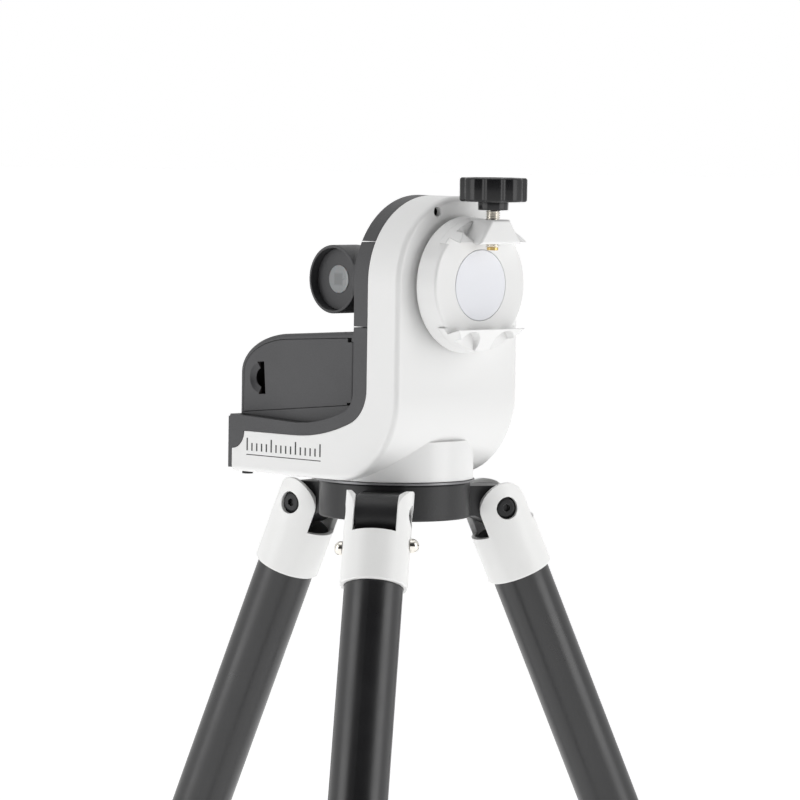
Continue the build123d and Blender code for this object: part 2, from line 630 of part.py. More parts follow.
def box_outline(inset):
    """Side outline of the battery box, shrunk by an inset; its corner is tangent to side and roof."""
    wide, high = BOX_CORNER_W - inset, BOX_CORNER_H - inset
    lift = inset * hypot(1, ROOF_SLOPE)
    turn = pi / 2 + atan(wide * ROOF_SLOPE / high)
    centre_x = BOX_LEFT + BOX_CORNER_W
    touch_x = centre_x + wide * cos(turn)
    touch_z = roof_height(touch_x) - lift
    centre_z = touch_z - high * sin(turn)
    left, right = BOX_LEFT + inset, ARM_IN + 4
    return outline_sum([
        Line((left, 20), (left, centre_z)),
        EllipticalCenterArc((centre_x, centre_z), wide, high, degrees(turn), arc_size=180 - degrees(turn)),
        Line((touch_x, touch_z), (right, roof_height(right) - lift)),
        Line((right, roof_height(right) - lift), (right, 20)),
        Line((right, 20), (left, 20)),
    ])


def door_space(margin, y0, y1):
    """The door's outline, grown by a margin, as a solid between two planes."""
    space = prism_xz(box_outline(DOOR_MARGIN - margin), y0, y1)
    lower = Pos(DOOR_AT, 0, DOOR_LOW - margin) * Rot(0, -DOOR_TILT, 0) * block((-200, 200), (-100, 100), (0, 100))
    return space & lower & block((-200, DOOR_RIGHT - HINGE_R + margin), (-100, 100), (0, 200))


HINGE_X = DOOR_RIGHT - HINGE_R
HINGE_Y = BOX_FRONT + HINGE_R
HINGE_LOW = DOOR_LOW + (HINGE_X - DOOR_AT) * tan(radians(DOOR_TILT)) + 1.0
HINGE_HIGH = roof_height(HINGE_X) - HINGE_BELOW_ROOF


def battery_housing():
    """The dark box on the shelf, open to the front behind its door."""
    box = prism_xz(box_outline(0), BOX_FRONT, BOX_BACK)
    edges = [e for e in box.edges() if abs(abs(e.center().Y) - BOX_BACK) < 0.1 and e.center().Z > 40
             and e.center().X < ARM_IN]
    box = fillet(edges, 2.0)
    box -= prism_xz(box_outline(BOX_WALL), BOX_FRONT + 4.4, BOX_BACK - BOX_WALL)
    box -= envelope(0)
    box -= door_space(GAP - 0.1, BOX_FRONT - 5, BOX_FRONT + DOOR_THICK + 0.15)
    box -= door_space(-2.4, BOX_FRONT, BOX_FRONT + 9) & block((-200, HINGE_X - 4), (-100, 100), (0, 200))
    box -= rod((HINGE_X, HINGE_Y, HINGE_LOW - 0.3), (0, 0, 1), HINGE_R + 0.3, HINGE_HIGH - HINGE_LOW + 0.6)
    box -= block((HINGE_X - HINGE_R - 1, HINGE_X), (BOX_FRONT - 5, HINGE_Y), (HINGE_LOW - 0.3, HINGE_HIGH + 0.3))
    box -= block((HINGE_X, HINGE_X + HINGE_R + 0.3), (BOX_FRONT - 5, HINGE_Y), (HINGE_LOW - 0.3, HINGE_HIGH + 0.3))
    pin = rod((HINGE_X, HINGE_Y, HINGE_LOW - 1.6), (0, 0, 1), HINGE_PIN_R + RUN, HINGE_HIGH - HINGE_LOW + 3.2)
    return box - pin


def battery_door():
    """The hinged door with its finger slot; it turns on two stub pins at its right edge."""
    door = door_space(0, BOX_FRONT, BOX_FRONT + DOOR_THICK)
    door -= block((HINGE_X - HINGE_R - 1, HINGE_X + 5), (-100, 0), (-50, HINGE_LOW))
    door -= block((HINGE_X - HINGE_R - 1, HINGE_X + 5), (-100, 0), (HINGE_HIGH, 150))
    door += rod((HINGE_X, HINGE_Y, HINGE_LOW), (0, 0, 1), HINGE_R, HINGE_HIGH - HINGE_LOW)
    door += rod((HINGE_X, HINGE_Y, HINGE_LOW - 1.4), (0, 0, 1), HINGE_PIN_R, HINGE_HIGH - HINGE_LOW + 2.8)
    slot = Pos(PULL_X, BOX_FRONT, PULL_Z) * Rot(0, -PULL_TILT, 0) * Box(PULL_W, 20, PULL_H)
    bowl = Pos(PULL_X - 1.0, BOX_FRONT + BOWL_DEPTH - BOWL_R, PULL_Z) * Sphere(BOWL_R)
    bowl &= block((PULL_X - 20, PULL_X), (-100, 0), (0, 200))
    return door - slot - bowl


def battery_pack():
    """The cell tray and the eight cells in it."""
    cells, holes = [], []
    for column in range(4):
        for row in range(2):
            x = TRAY_X + (column - 1.5) * CELL_PITCH
            z = TRAY_Z + (row - 0.5) * CELL_PITCH
            cell = rod((x, -CELL_L / 2 + 1, z), (0, 1, 0), CELL_R, CELL_L - 1.2)
            cell += rod((x, -CELL_L / 2, z), (0, 1, 0), 2.6, 2)
            cells.append(cell)
            holes.append(rod((x, -CELL_L / 2 - 5, z), (0, 1, 0), CELL_R + SEAT, CELL_L + 5))
    half = 2 * CELL_PITCH + 1
    tray = block((TRAY_X - half, TRAY_X + half), (-CELL_L / 2 + 4, CELL_L / 2 + 2),
                 (TRAY_Z - CELL_PITCH - 1, TRAY_Z + CELL_PITCH + 1))
    for hole in holes:
        tray -= hole
    foot_top = TRAY_Z - CELL_PITCH - 1
    for y in (-15, 15):
        tray += block((TRAY_X - 20, TRAY_X - 14), (y - 3, y + 3), (SHELF_TOP + 0.5, foot_top))
    keep("battery_tray", tray - envelope(0))
    keep("battery_cells", Compound(cells))
    keep("battery_housing", battery_housing())
    keep("battery_door", battery_door())


# ---------------------------------------------------------------- base drive
AZ_MOTOR_Y = GEAR_MODULE * (AZ_TEETH + AZ_PINION_TEETH) / 2
ALT_MOTOR_Z = ALT_Z - GEAR_MODULE * (ALT_TEETH + ALT_PINION_TEETH) / 2


def base_drive():
    """The standing column with its gear, and the turning bush, pinion and motor."""
    base = rod((0, 0, 0), (0, 0, 1), BASE_RING_R, BASE_RING) + rod((0, 0, 0), (0, 0, 1), COLUMN_R, COLUMN_TOP)
    base -= rod((0, 0, -1), (0, 0, 1), HUB_BOLT_R, HUB_BOLT_IN + 3)
    keep("azimuth_base", base)
    keep("azimuth_gear", Pos(0, 0, AZ_GEAR_Z) * gear(AZ_TEETH, GEAR_W, COLUMN_R))
    bush = rod((0, 0, SHELF_BOTTOM), (0, 0, 1), BUSH_R, BUSH_TOP - SHELF_BOTTOM)
    keep("azimuth_bush", bush - rod((0, 0, 0), (0, 0, 1), COLUMN_R + RUN, 40))
    pinion = Rot(0, 0, 180 / AZ_PINION_TEETH) * gear(AZ_PINION_TEETH, GEAR_W, MOTOR_SHAFT_R)
    keep("azimuth_pinion", Pos(0, AZ_MOTOR_Y, AZ_GEAR_Z) * (pinion + stub(GEAR_W)))
    motor = rod((0, AZ_MOTOR_Y, AZ_GEAR_Z + GEAR_W + 2), (0, 0, 1), MOTOR_R, AZ_MOTOR_L)
    motor -= rod((0, AZ_MOTOR_Y, AZ_GEAR_Z), (0, 0, 1), MOTOR_SHAFT_R + RUN, GEAR_W + 6)
    keep("azimuth_motor", motor)


def stub(start):
    """A pinion's own shaft, on Z, which runs up into its motor."""
    return rod((0, 0, 0), (0, 0, 1), MOTOR_SHAFT_R, start + 5.5)


def altitude_drive():
    """Shaft, gear, bearings, pinion and motor of the altitude axis."""
    shaft = rod((-20, 0, ALT_Z), (1, 0, 0), SHAFT_R, SADDLE_FLOOR - 6 + 20)
    shaft -= rod((SADDLE_FLOOR - 18, 0, ALT_Z), (1, 0, 0), 2.0, 20)
    keep("altitude_shaft", shaft)
    plane = Plane(origin=(ALT_GEAR_X, 0, ALT_Z), x_dir=(0, 1, 0), z_dir=(1, 0, 0))
    keep("altitude_gear", plane * gear(ALT_TEETH, GEAR_W, SHAFT_R))
    rings = []
    for x in (ARM_IN + COVER_WALL, ARM_OUT - WALL - 1.5):
        ring = rod((x, 0, ALT_Z), (1, 0, 0), BEARING_R, BEARING_W)
        ring -= rod((x - 1, 0, ALT_Z), (1, 0, 0), SHAFT_R + RUN, BEARING_W + 2)
        rings.append(ring)
    keep("altitude_bearings", Compound(rings))
    plane = Plane(origin=(ALT_GEAR_X + GEAR_W, 0, ALT_MOTOR_Z), x_dir=(0, 1, 0), z_dir=(-1, 0, 0))
    pinion = Rot(0, 0, 270) * gear(ALT_PINION_TEETH, GEAR_W, MOTOR_SHAFT_R)
    keep("altitude_pinion", plane * (pinion + stub(GEAR_W)))
    face = ALT_GEAR_X - MOTOR_GAP
    motor = rod((face, 0, ALT_MOTOR_Z), (-1, 0, 0), MOTOR_R, MOTOR_L)
    motor -= rod((face + 1, 0, ALT_MOTOR_Z), (-1, 0, 0), MOTOR_SHAFT_R + RUN, 7)
    keep("altitude_motor", motor)


def electronics():
    """Control board, socket panel and the push button in it."""
    board = block((BOARD_X, BOARD_X + BOARD_THICK), (-30, 30), (33, 54))
    for y, w, h in CHIPS:
        board += block((BOARD_X + 1, BOARD_X + 3.4), (y - w, y + w), (44 - h, 44 + h))
    keep("control_board", board)
    panel = block((PANEL_X[0] + SEAT, PANEL_X[1] - SEAT), (BODY_HALF - PANEL_THICK, BODY_HALF),
                  (PANEL_Z[0] + SEAT, PANEL_Z[1] - SEAT))
    z = (PANEL_Z[0] + PANEL_Z[1]) / 2
    corners = panel.edges().filter_by(Axis.Y)
    panel = fillet(corners, 1.5)
    for x, r in ((JACK_X, JACK_R + 1.6), (USB_X, 4.9)):
        panel += rod((x, BODY_HALF - 7, z), (0, 1, 0), r, 6)
    panel -= rod((JACK_X, BODY_HALF - 6, z), (0, 1, 0), JACK_R, 10)
    panel += rod((JACK_X, BODY_HALF - 6.5, z), (0, 1, 0), 1.0, 5.5)
    panel -= block((USB_X - 4.5, USB_X + 4.5), (BODY_HALF - 6, 60), (z - 1.6, z + 1.6))
    panel += block((USB_X - 3.4, USB_X + 3.4), (BODY_HALF - 6.5, BODY_HALF - 1), (z - 0.4, z + 0.4))
    panel -= rod((BUTTON_X, 0, z), (0, 1, 0), BUTTON_R + RUN, 60)
    keep("socket_panel", panel)
    button = rod((BUTTON_X, BODY_HALF - 5, z), (0, 1, 0), BUTTON_R, 6.6)
    rim = button.edges().filter_by(GeomType.CIRCLE).sort_by(Axis.Y)[-1]
    keep("power_button", fillet(rim, 0.8))


def small_pieces():
    """The round level, the pad under the shelf."""
    keep("bubble_level", rod((LEVEL_X, LEVEL_Y, ARM_TOP - LEVEL_FLOOR), (0, 0, 1), LEVEL_R, LEVEL_H))
    keep("shelf_pad", rod((PAD_X, PAD_Y, SHELF_BOTTOM), (0, 0, -1), PAD_R, SHELF_BOTTOM - 0.1))


# ---------------------------------------------------------------- saddle and clamp
def saddle_plate():
    """The round white saddle with a dovetail slot along Y between two jaws."""
    hub = rod((SADDLE_BACK, 0, 0), (1, 0, 0), SADDLE_R - 3.5, SADDLE_RIM - SADDLE_BACK)
    disc = taper((SADDLE_RIM - 2.5, 0, 0), (1, 0, 0), SADDLE_R, SADDLE_FLOOR_R, SADDLE_FLOOR - SADDLE_RIM + 2.5)
    disc = fillet(disc.edges().filter_by(GeomType.CIRCLE), 1.6)
    saddle = hub + disc
    drum = taper((SADDLE_FLOOR - 4, 0, 0), (1, 0, 0), JAW_R, JAW_R - 1.6, JAW_TOP - SADDLE_FLOOR + 4)
    drop = degrees(atan2(JAW_TOP - JAW_BACK, JAW_R - SLOT_HALF))
    for side in (-1, 1):
        z0 = SLOT_HALF - 1 if side > 0 else -60
        jaw = drum & block((0, 200), (-60, 60), (z0, z0 + 61 - SLOT_HALF))
        tool = Pos(JAW_TOP, 0, side * SLOT_HALF) * Rot(0, side * -drop, 0)
        tool = tool * block((0, 60), (-60, 60), (-80, 80))
        saddle += jaw - tool
    flare = make_face(Plane.YZ * Polyline(
        (-BOSS_FOOT_HALF, SLOT_HALF - 1), (BOSS_FOOT_HALF, SLOT_HALF - 1),
        (BOSS_HALF, BOSS_REACH), (-BOSS_HALF, BOSS_REACH), close=True))
    boss = extrude(Pos(SADDLE_FLOOR - 2, 0, 0) * flare, amount=BOSS_TOP - SADDLE_FLOOR + 2, dir=(1, 0, 0))
    boss = fillet(boss.edges().group_by(Axis.X)[-1].filter_by(Axis.Z, reverse=True), 1.5)
    for y in (-POCKET_Y, POCKET_Y):
        for z in (-POCKET_Z, POCKET_Z):
            saddle -= rod((SADDLE_FLOOR + POCKET_FLOOR, y, z), (1, 0, 0), POCKET_R, 30)
    saddle += boss
    under = SLOT_HALF + SLOT_UNDERCUT
    slot = make_face(Plane.XZ * Polyline(
        (SADDLE_FLOOR, -under), (SADDLE_FLOOR, under), (90, SLOT_HALF - SLOT_UNDERCUT * 2.2),
        (90, -SLOT_HALF + SLOT_UNDERCUT * 2.2), close=True))
    saddle -= extrude(Pos(0, 60, 0) * slot, amount=120, dir=(0, -1, 0))
    saddle -= rod((CLAMP_X, 0, 0), (0, 0, 1), CLAMP_R + RUN, 60)
    saddle -= rod((SADDLE_FLOOR - 0.9, 0, 0), (1, 0, 0), CAP_R + 0.25, 10)
    saddle -= rod((0, 0, 0), (1, 0, 0), SHAFT_R, SADDLE_FLOOR - 6)
    saddle -= rod((0, 0, 0), (1, 0, 0), 2.2, SADDLE_FLOOR)
    saddle -= rod((SADDLE_FLOOR - 4.2, 0, 0), (1, 0, 0), 4.4, 10)
    return saddle


def clamp_screw():
    """The clamp screw with its grooved thread; the tip piece is separate."""
    top = KNOB_TOP - 3
    low = CLAMP_TIP + 1.6
    outline = [(0, low), (CLAMP_R - 0.7, low)]
    z = low
    while z + CLAMP_PITCH < KNOB_TOP - KNOB_H - COLLAR_H:
        outline += [(CLAMP_R - 0.02, z + CLAMP_PITCH * 0.45), (CLAMP_R - 0.02, z + CLAMP_PITCH * 0.55),
                    (CLAMP_R - 0.7, z + CLAMP_PITCH)]
        z += CLAMP_PITCH
    outline += [(CLAMP_R - 0.7, z + 0.2), (CLAMP_R - 0.02, z + 0.4), (CLAMP_R - 0.02, top), (0, top)]
    face = make_face(Plane.XZ * Polyline(*outline, close=True))
    return Pos(CLAMP_X, 0, 0) * revolve(face, Axis.Z, 360)


def clamp_knob():
    """The lobed knob and its collar."""
    low = KNOB_TOP - KNOB_H
    knob = rod((0, 0, low), (0, 0, 1), KNOB_R, KNOB_H)
    knob = chamfer(knob.edges().filter_by(GeomType.CIRCLE), 1.2)
    for k in range(KNOB_LOBES):
        turn = 360 / KNOB_LOBES * (k + 0.5)
        knob -= Rot(0, 0, turn) * rod((KNOB_R + 9.6, 0, low - 1), (0, 0, 1), 11.0, KNOB_H + 2)
    knob += rod((0, 0, low - COLLAR_H), (0, 0, 1), COLLAR_R, COLLAR_H + 1)
    knob -= rod((0, 0, KNOB_TOP - 1.2), (0, 0, 1), 6.5, 5)
    return Pos(CLAMP_X, 0, 0) * (knob - rod((0, 0, 0), (0, 0, 1), CLAMP_R, KNOB_TOP - 3))


def saddle_group():
    """Saddle, cap, shaft screw and the clamp, about the altitude axis."""
    place = HEAD * Pos(0, 0, ALT_Z)
    keep("saddle_plate", saddle_plate(), place)
    cap = rod((SADDLE_FLOOR - 0.9, 0, 0), (1, 0, 0), CAP_R, 1.05)
    cap = fillet(cap.edges().filter_by(GeomType.CIRCLE).sort_by(Axis.X)[-1], 0.3)
    keep("saddle_cap", cap, place)
    screw = rod((SADDLE_FLOOR - 18, 0, 0), (1, 0, 0), 2.0, 14) + rod((SADDLE_FLOOR - 4.2, 0, 0), (1, 0, 0), 4.2, 3)
    keep("saddle_screw", screw, place)
    tip = rod((CLAMP_X, 0, CLAMP_TIP), (0, 0, 1), CLAMP_R - 0.9, 1.6 - 0.05)
    keep("clamp_tip", tip, place)
    keep("clamp_screw", clamp_screw(), place)
    keep("clamp_knob", clamp_knob(), place)


# ---------------------------------------------------------------- sensor
def sensor_group():
    """The round sensor that looks along -Y, on its barrel about the altitude axis."""
    place = HEAD * Pos(0, 0, ALT_Z)
    barrel = rod((HOOD_X, 0, 0), (1, 0, 0), BARREL_R, ARM_IN - GAP - HOOD_X)
    hood = rod((HOOD_X, 0, 0), (0, -1, 0), HOOD_R, HOOD_MOUTH)
    hood = fillet(hood.edges().filter_by(GeomType.CIRCLE).sort_by(Axis.Y)[0], 0.6)
    body = barrel + hood + Pos(HOOD_X, 0, 0) * Sphere(HOOD_R)
    mouth = HOOD_R - HOOD_WALL
    body -= rod((HOOD_X, -HOOD_MOUTH + HOOD_DEPTH, 0), (0, -1, 0), mouth, 30)
    body -= rod((HOOD_X, 2, 0), (0, -1, 0), mouth - 2.5, 30)
    body -= rod((-20, 0, 0), (1, 0, 0), SHAFT_R, 60)
    keep("sensor_barrel", body, place)
    back = -HOOD_MOUTH + HOOD_DEPTH
    plate = rod((HOOD_X, back, 0), (0, -1, 0), mouth - SEAT, 2.0)
    plate = fillet(plate.edges().filter_by(GeomType.CIRCLE).sort_by(Axis.Y)[0], 0.5)
    plate -= rod((HOOD_X, back + 1, 0), (0, -1, 0), WINDOW_R, 10)
    plate += rod((HOOD_X, back, 0), (0, -1, 0), WINDOW_R + 0.5, 0.6)
    plate += Pos(HOOD_X, back - 0.9, 0) * Box(6.4, 0.8, 6.4)
    keep("sensor_plate", plate, place)
    window = rod((HOOD_X, back - 1.3, 0), (0, -1, 0), WINDOW_R, 1.3)
    window = fillet(window.edges().filter_by(GeomType.CIRCLE).sort_by(Axis.Y)[0], 0.4)
    keep("sensor_window", window, place)


def build_all():
    """Every piece of the object."""
    tripod()
    keep("main_shell", main_shell())
    inner_covers()
    battery_pack()
    base_drive()
    altitude_drive()
    electronics()
    small_pieces()
    saddle_group()
    sensor_group()


def export_all():
    """One STEP file for each piece."""
    os.makedirs("parts", exist_ok=True)
    for name, shape in PARTS.items():
        export_step(shape, f"parts/{name}.step")


build_all()
export_all()
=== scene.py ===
import json
from math import cos, pi, radians, sin

import bmesh
import bpy
from bpy.props import FloatProperty, FloatVectorProperty, IntProperty, PointerProperty
from mathutils import Matrix, Vector


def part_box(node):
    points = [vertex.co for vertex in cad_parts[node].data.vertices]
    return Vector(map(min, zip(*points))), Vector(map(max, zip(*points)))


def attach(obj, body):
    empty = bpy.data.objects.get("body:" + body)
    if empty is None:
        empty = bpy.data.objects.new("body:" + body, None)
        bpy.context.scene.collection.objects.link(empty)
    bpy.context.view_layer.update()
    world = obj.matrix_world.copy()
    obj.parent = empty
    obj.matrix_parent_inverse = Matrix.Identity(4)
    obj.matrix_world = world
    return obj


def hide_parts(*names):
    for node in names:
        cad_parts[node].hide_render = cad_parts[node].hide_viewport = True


bl_info = {
    "name": "One-Arm Telescope Mount",
    "version": (1, 0, 0),
    "blender": (4, 5, 0),
    "location": "View3D > Sidebar > Mount",
    "description": "Finishes and fine pieces of a one-arm telescope mount on its tripod",
    "category": "Object",
}

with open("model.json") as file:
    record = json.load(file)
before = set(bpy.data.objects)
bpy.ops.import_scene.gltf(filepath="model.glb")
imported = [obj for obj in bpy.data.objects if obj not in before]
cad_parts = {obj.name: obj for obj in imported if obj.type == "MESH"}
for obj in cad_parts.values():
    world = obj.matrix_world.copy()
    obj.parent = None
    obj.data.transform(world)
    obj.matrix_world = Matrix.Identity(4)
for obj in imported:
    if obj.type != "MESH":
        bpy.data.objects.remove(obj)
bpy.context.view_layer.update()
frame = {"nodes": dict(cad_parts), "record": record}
MM = 0.001
SHARP = radians(32)
SLOT_OF = {row["node"]: row["material_slot"] for row in frame["record"]["subparts"]}

# The clamp screw's thread: how far across one pitch each corner lies, root and crest in turn.
THREAD_STEPS = 36
ROOT_END, CREST_START, CREST_END, ROOT_START = 0.12, 0.46, 0.60, 0.94
# The knob: how sharply its hollows bend, and the two steps of its lid as inset and depth.
HOLLOW_POWER = 1.4
LID_STEPS = ((2.4 * MM, 0.0), (0.4 * MM, -0.4 * MM))
# The round level.
CUP_WALL = 0.9 * MM
CUP_FLOOR = 0.7 * MM
BUBBLE_R = 1.2 * MM
BUBBLE_FLATNESS = 0.28
RING_IN, RING_OUT, RING_H = 1.75 * MM, 1.95 * MM, 0.06 * MM
# The printed marks: a row of bars, every fifth one tall, over a thin rule.
MARK_COUNT = 16
MARK_PITCH = 3.9 * MM
MARK_WIDTH = 1.1 * MM
MARK_SHORT = 0.62
MARK_INK = 0.04 * MM
MARKS_LEFT, MARKS_UP = 12.5 * MM, 12.0 * MM
RULE_H = 0.5 * MM
RULE_DROP = 2.2 * MM
# The studio: floor, side boxes either side of the camera, and the box overhead, in metres.
FLOOR_R = 60.0
SIDE_TURN = 70.0
SIDE_AWAY, SIDE_UP = 2.4, 0.5
SIDE_SIZE = (1.3, 2.4)
TOP_UP = 2.6
TOP_SIZE = (2.4, 2.4)


# ---------------------------------------------------------------- settings
def colour_setting(name, text, value):
    return FloatVectorProperty(
        name=name, description=text, default=value, subtype="COLOR", size=3, min=0.0, max=1.0)


def length_setting(name, text, value):
    return FloatProperty(
        name=name, description=text, default=value, subtype="DISTANCE", unit="LENGTH", precision=5)


class MountColours(bpy.types.PropertyGroup):
    """Colours of the finishes."""

    shell: colour_setting("Shell", "White paint of the arm, shelf and saddle", (0.80, 0.80, 0.795))
    sleeve: colour_setting("Sleeves", "White plastic at the top of each leg", (0.87, 0.87, 0.86))
    cap: colour_setting("Saddle Cap", "Cool white disc in the saddle", (0.79, 0.80, 0.84))
    cover: colour_setting(
        "Covers", "Charcoal plastic of the covers and the battery box", (0.052, 0.052, 0.055))
    casting: colour_setting("Hub", "Paint of the tripod's hub", (0.016, 0.016, 0.017))
    tube: colour_setting("Leg Tubes", "Anodised finish of the upper tubes", (0.008, 0.008, 0.009))
    moulding: colour_setting("Black Mouldings", "Collars, levers and plugs", (0.016, 0.016, 0.017))
    knob: colour_setting("Knob", "Clamp knob", (0.009, 0.009, 0.010))
    bright: colour_setting("Bright Screws", "Nickel plate", (0.80, 0.77, 0.71))
    window: colour_setting("Sensor Window", "Milky diffuser", (0.27, 0.28, 0.285))


class MountSizes(bpy.types.PropertyGroup):
    """Sizes of the pieces that are made here."""

    pitch: length_setting("Thread Pitch", "Rise of the clamp thread for each turn", 1.25 * MM)
    thread_depth: length_setting("Thread Depth", "Depth of the clamp thread", 0.7 * MM)
    lobes: IntProperty(name="Knob Lobes", description="Lobes round the clamp knob", default=8, min=3, max=16)
    lobe_depth: length_setting("Lobe Depth", "Depth of the hollows between the lobes", 1.5 * MM)
    knob_edge: length_setting("Knob Edge", "Rounding of the knob's rims", 1.3 * MM)
    knob_height: length_setting("Knob Height", "Height of the lobed part", 12.9 * MM)
    collar_radius: length_setting("Collar Radius", "Radius of the collar under the knob", 8.3 * MM)
    collar_sides: IntProperty(
        name="Collar Sides", description="Facets of the collar", default=16, min=6, max=48)
    window_dome: length_setting("Window Crown", "How far the window's middle stands out", 0.35 * MM)
    mark_height: length_setting("Mark Height", "Height of the tallest printed mark", 7.0 * MM)


class MountStudio(bpy.types.PropertyGroup):
    """Camera and light."""

    lens: FloatProperty(name="Lens", description="Focal length", default=205.0, unit="CAMERA", min=20.0)
    distance: length_setting("Distance", "From the camera to the head", 2.5)
    azimuth: FloatProperty(
        name="Camera Azimuth", description="Direction of the camera, 0 in front", default=radians(45.5),
        subtype="ANGLE", unit="ROTATION")
    elevation: FloatProperty(
        name="Camera Elevation", description="Height of the camera as an angle", default=radians(3.6),
        subtype="ANGLE", unit="ROTATION")
    roll: FloatProperty(
        name="Camera Roll", description="Turn of the picture", default=radians(0.83),
        subtype="ANGLE", unit="ROTATION")
    aim: length_setting("Aim Height", "Height of the picture's middle above the hub", 0.04367)
    shift: length_setting("Aim Shift", "The picture's middle beside the azimuth axis, to the right", 0.00223)
    side_power: FloatProperty(
        name="Side Lights", description="Power of the two side boxes", default=17.0, min=0.0, unit="POWER")
    top_power: FloatProperty(
        name="Top Light", description="Power of the overhead box", default=15.0, min=0.0, unit="POWER")
    room: FloatProperty(name="Room Light", description="Even light behind the object", default=0.8, min=0.0)
    room_front: FloatProperty(
        name="Room Light in Front", description="Even light on the camera's side", default=0.05, min=0.0)


def settings():
    scene = bpy.context.scene
    return scene.mount_colours, scene.mount_sizes, scene.mount_studio


# ---------------------------------------------------------------- effects shared by the finishes
def add(tree, kind, **values):
    """A new node with some of its values set."""
    node = tree.nodes.new(kind)
    for key, value in values.items():
        setattr(node, key, value)
    return node


def maths(tree, operation, first, second=None, clamp=False):
    """A Math node fed by sockets or numbers; returns its result."""
    node = add(tree, "ShaderNodeMath", operation=operation, use_clamp=clamp)
    for index, value in enumerate((first, second)):
        if isinstance(value, (int, float)):
            node.inputs[index].default_value = value
        elif value is not None:
            tree.links.new(value, node.inputs[index])
    return node.outputs[0]


def spread(tree, value, low, high, from_low=0.0, from_high=1.0):
    """A value carried from one range to another."""
    node = add(tree, "ShaderNodeMapRange")
    tree.links.new(value, node.inputs["Value"])
    for name, number in (("From Min", from_low), ("From Max", from_high), ("To Min", low), ("To Max", high)):
        node.inputs[name].default_value = number
    return node.outputs["Result"]


def blend_colour(tree, factor, first, second):
    """Two colours mixed by a factor; each may be a socket or a triple."""
    node = add(tree, "ShaderNodeMix", data_type="RGBA")
    tree.links.new(factor, node.inputs["Factor"])
    for name, value in (("A", first), ("B", second)):
        socket = next(s for s in node.inputs if s.name == name and s.type == "RGBA")
        if isinstance(value, (tuple, list)):
            socket.default_value = (*value, 1.0)
        else:
            tree.links.new(value, socket)
    return next(s for s in node.outputs if s.type == "RGBA")


def effect(name, inputs, outputs):
    """An empty node group with named sockets, with its input and output nodes."""
    tree = bpy.data.node_groups.new(name, "ShaderNodeTree")
    for label, kind, value in inputs:
        socket = tree.interface.new_socket(label, in_out="INPUT", socket_type=kind)
        if value is not None:
            socket.default_value = value
    for label, kind in outputs:
        tree.interface.new_socket(label, in_out="OUTPUT", socket_type=kind)
    return tree, add(tree, "NodeGroupInput"), add(tree, "NodeGroupOutput")


def grain_effect():
    """Fine moulded or blasted texture: a height and a tone."""
    tree, start, end = effect(
        "Fine Grain",
        [("Vector", "NodeSocketVector", None), ("Scale", "NodeSocketFloat", 1800.0)],
        [("Height", "NodeSocketFloat"), ("Tone", "NodeSocketFloat")])
    noise = add(tree, "ShaderNodeTexNoise")
    noise.inputs["Detail"].default_value = 3.0
    noise.inputs["Roughness"].default_value = 0.65
    cells = add(tree, "ShaderNodeTexVoronoi", feature="SMOOTH_F1")
    cells.inputs["Smoothness"].default_value = 0.6
    half_scale = maths(tree, "MULTIPLY", start.outputs["Scale"], 0.55)
    for node, scale in ((noise, start.outputs["Scale"]), (cells, half_scale)):
        tree.links.new(start.outputs["Vector"], node.inputs["Vector"])
        tree.links.new(scale, node.inputs["Scale"])
    bumps = maths(tree, "MULTIPLY", cells.outputs["Distance"], 0.6)
    tree.links.new(maths(tree, "ADD", noise.outputs["Fac"], bumps), end.inputs["Height"])
    tree.links.new(spread(tree, noise.outputs["Fac"], 0.0, 1.0, 0.3, 0.7), end.inputs["Tone"])
    return tree


def blotch_effect():
    """Broad soft patches, as handling and polishing leave."""
    tree, start, end = effect(
        "Soft Patches",
        [("Vector", "NodeSocketVector", None), ("Scale", "NodeSocketFloat", 28.0)],
        [("Value", "NodeSocketFloat")])
    noise = add(tree, "ShaderNodeTexNoise")
    noise.inputs["Detail"].default_value = 5.0
    noise.inputs["Roughness"].default_value = 0.55
    noise.inputs["Distortion"].default_value = 0.6
    tree.links.new(start.outputs["Vector"], noise.inputs["Vector"])
    tree.links.new(start.outputs["Scale"], noise.inputs["Scale"])
    tree.links.new(spread(tree, noise.outputs["Fac"], 0.0, 1.0, 0.32, 0.68), end.inputs["Value"])
    return tree


def edge_effect():
    """Softened edges, and a mask of where they are."""
    tree, start, end = effect(
        "Soft Edges",
        [("Vector", "NodeSocketVector", None), ("Radius", "NodeSocketFloat", 0.0004)],
        [("Normal", "NodeSocketVector"), ("Mask", "NodeSocketFloat")])
    bevel = add(tree, "ShaderNodeBevel", samples=6)
    tree.links.new(start.outputs["Radius"], bevel.inputs["Radius"])
    flat = add(tree, "ShaderNodeNewGeometry")
    dot = add(tree, "ShaderNodeVectorMath", operation="DOT_PRODUCT")
    tree.links.new(bevel.outputs["Normal"], dot.inputs[0])
    tree.links.new(flat.outputs["Normal"], dot.inputs[1])
    noise = add(tree, "ShaderNodeTexNoise")
    noise.inputs["Scale"].default_value = 260.0
    noise.inputs["Detail"].default_value = 4.0
    tree.links.new(start.outputs["Vector"], noise.inputs["Vector"])
    turned = spread(tree, dot.outputs["Value"], 1.0, 0.0, 0.80, 0.995)
    broken = spread(tree, noise.outputs["Fac"], 0.0, 1.0, 0.42, 0.62)
    tree.links.new(maths(tree, "MULTIPLY", turned, broken, clamp=True), end.inputs["Mask"])
    tree.links.new(bevel.outputs["Normal"], end.inputs["Normal"])
    return tree


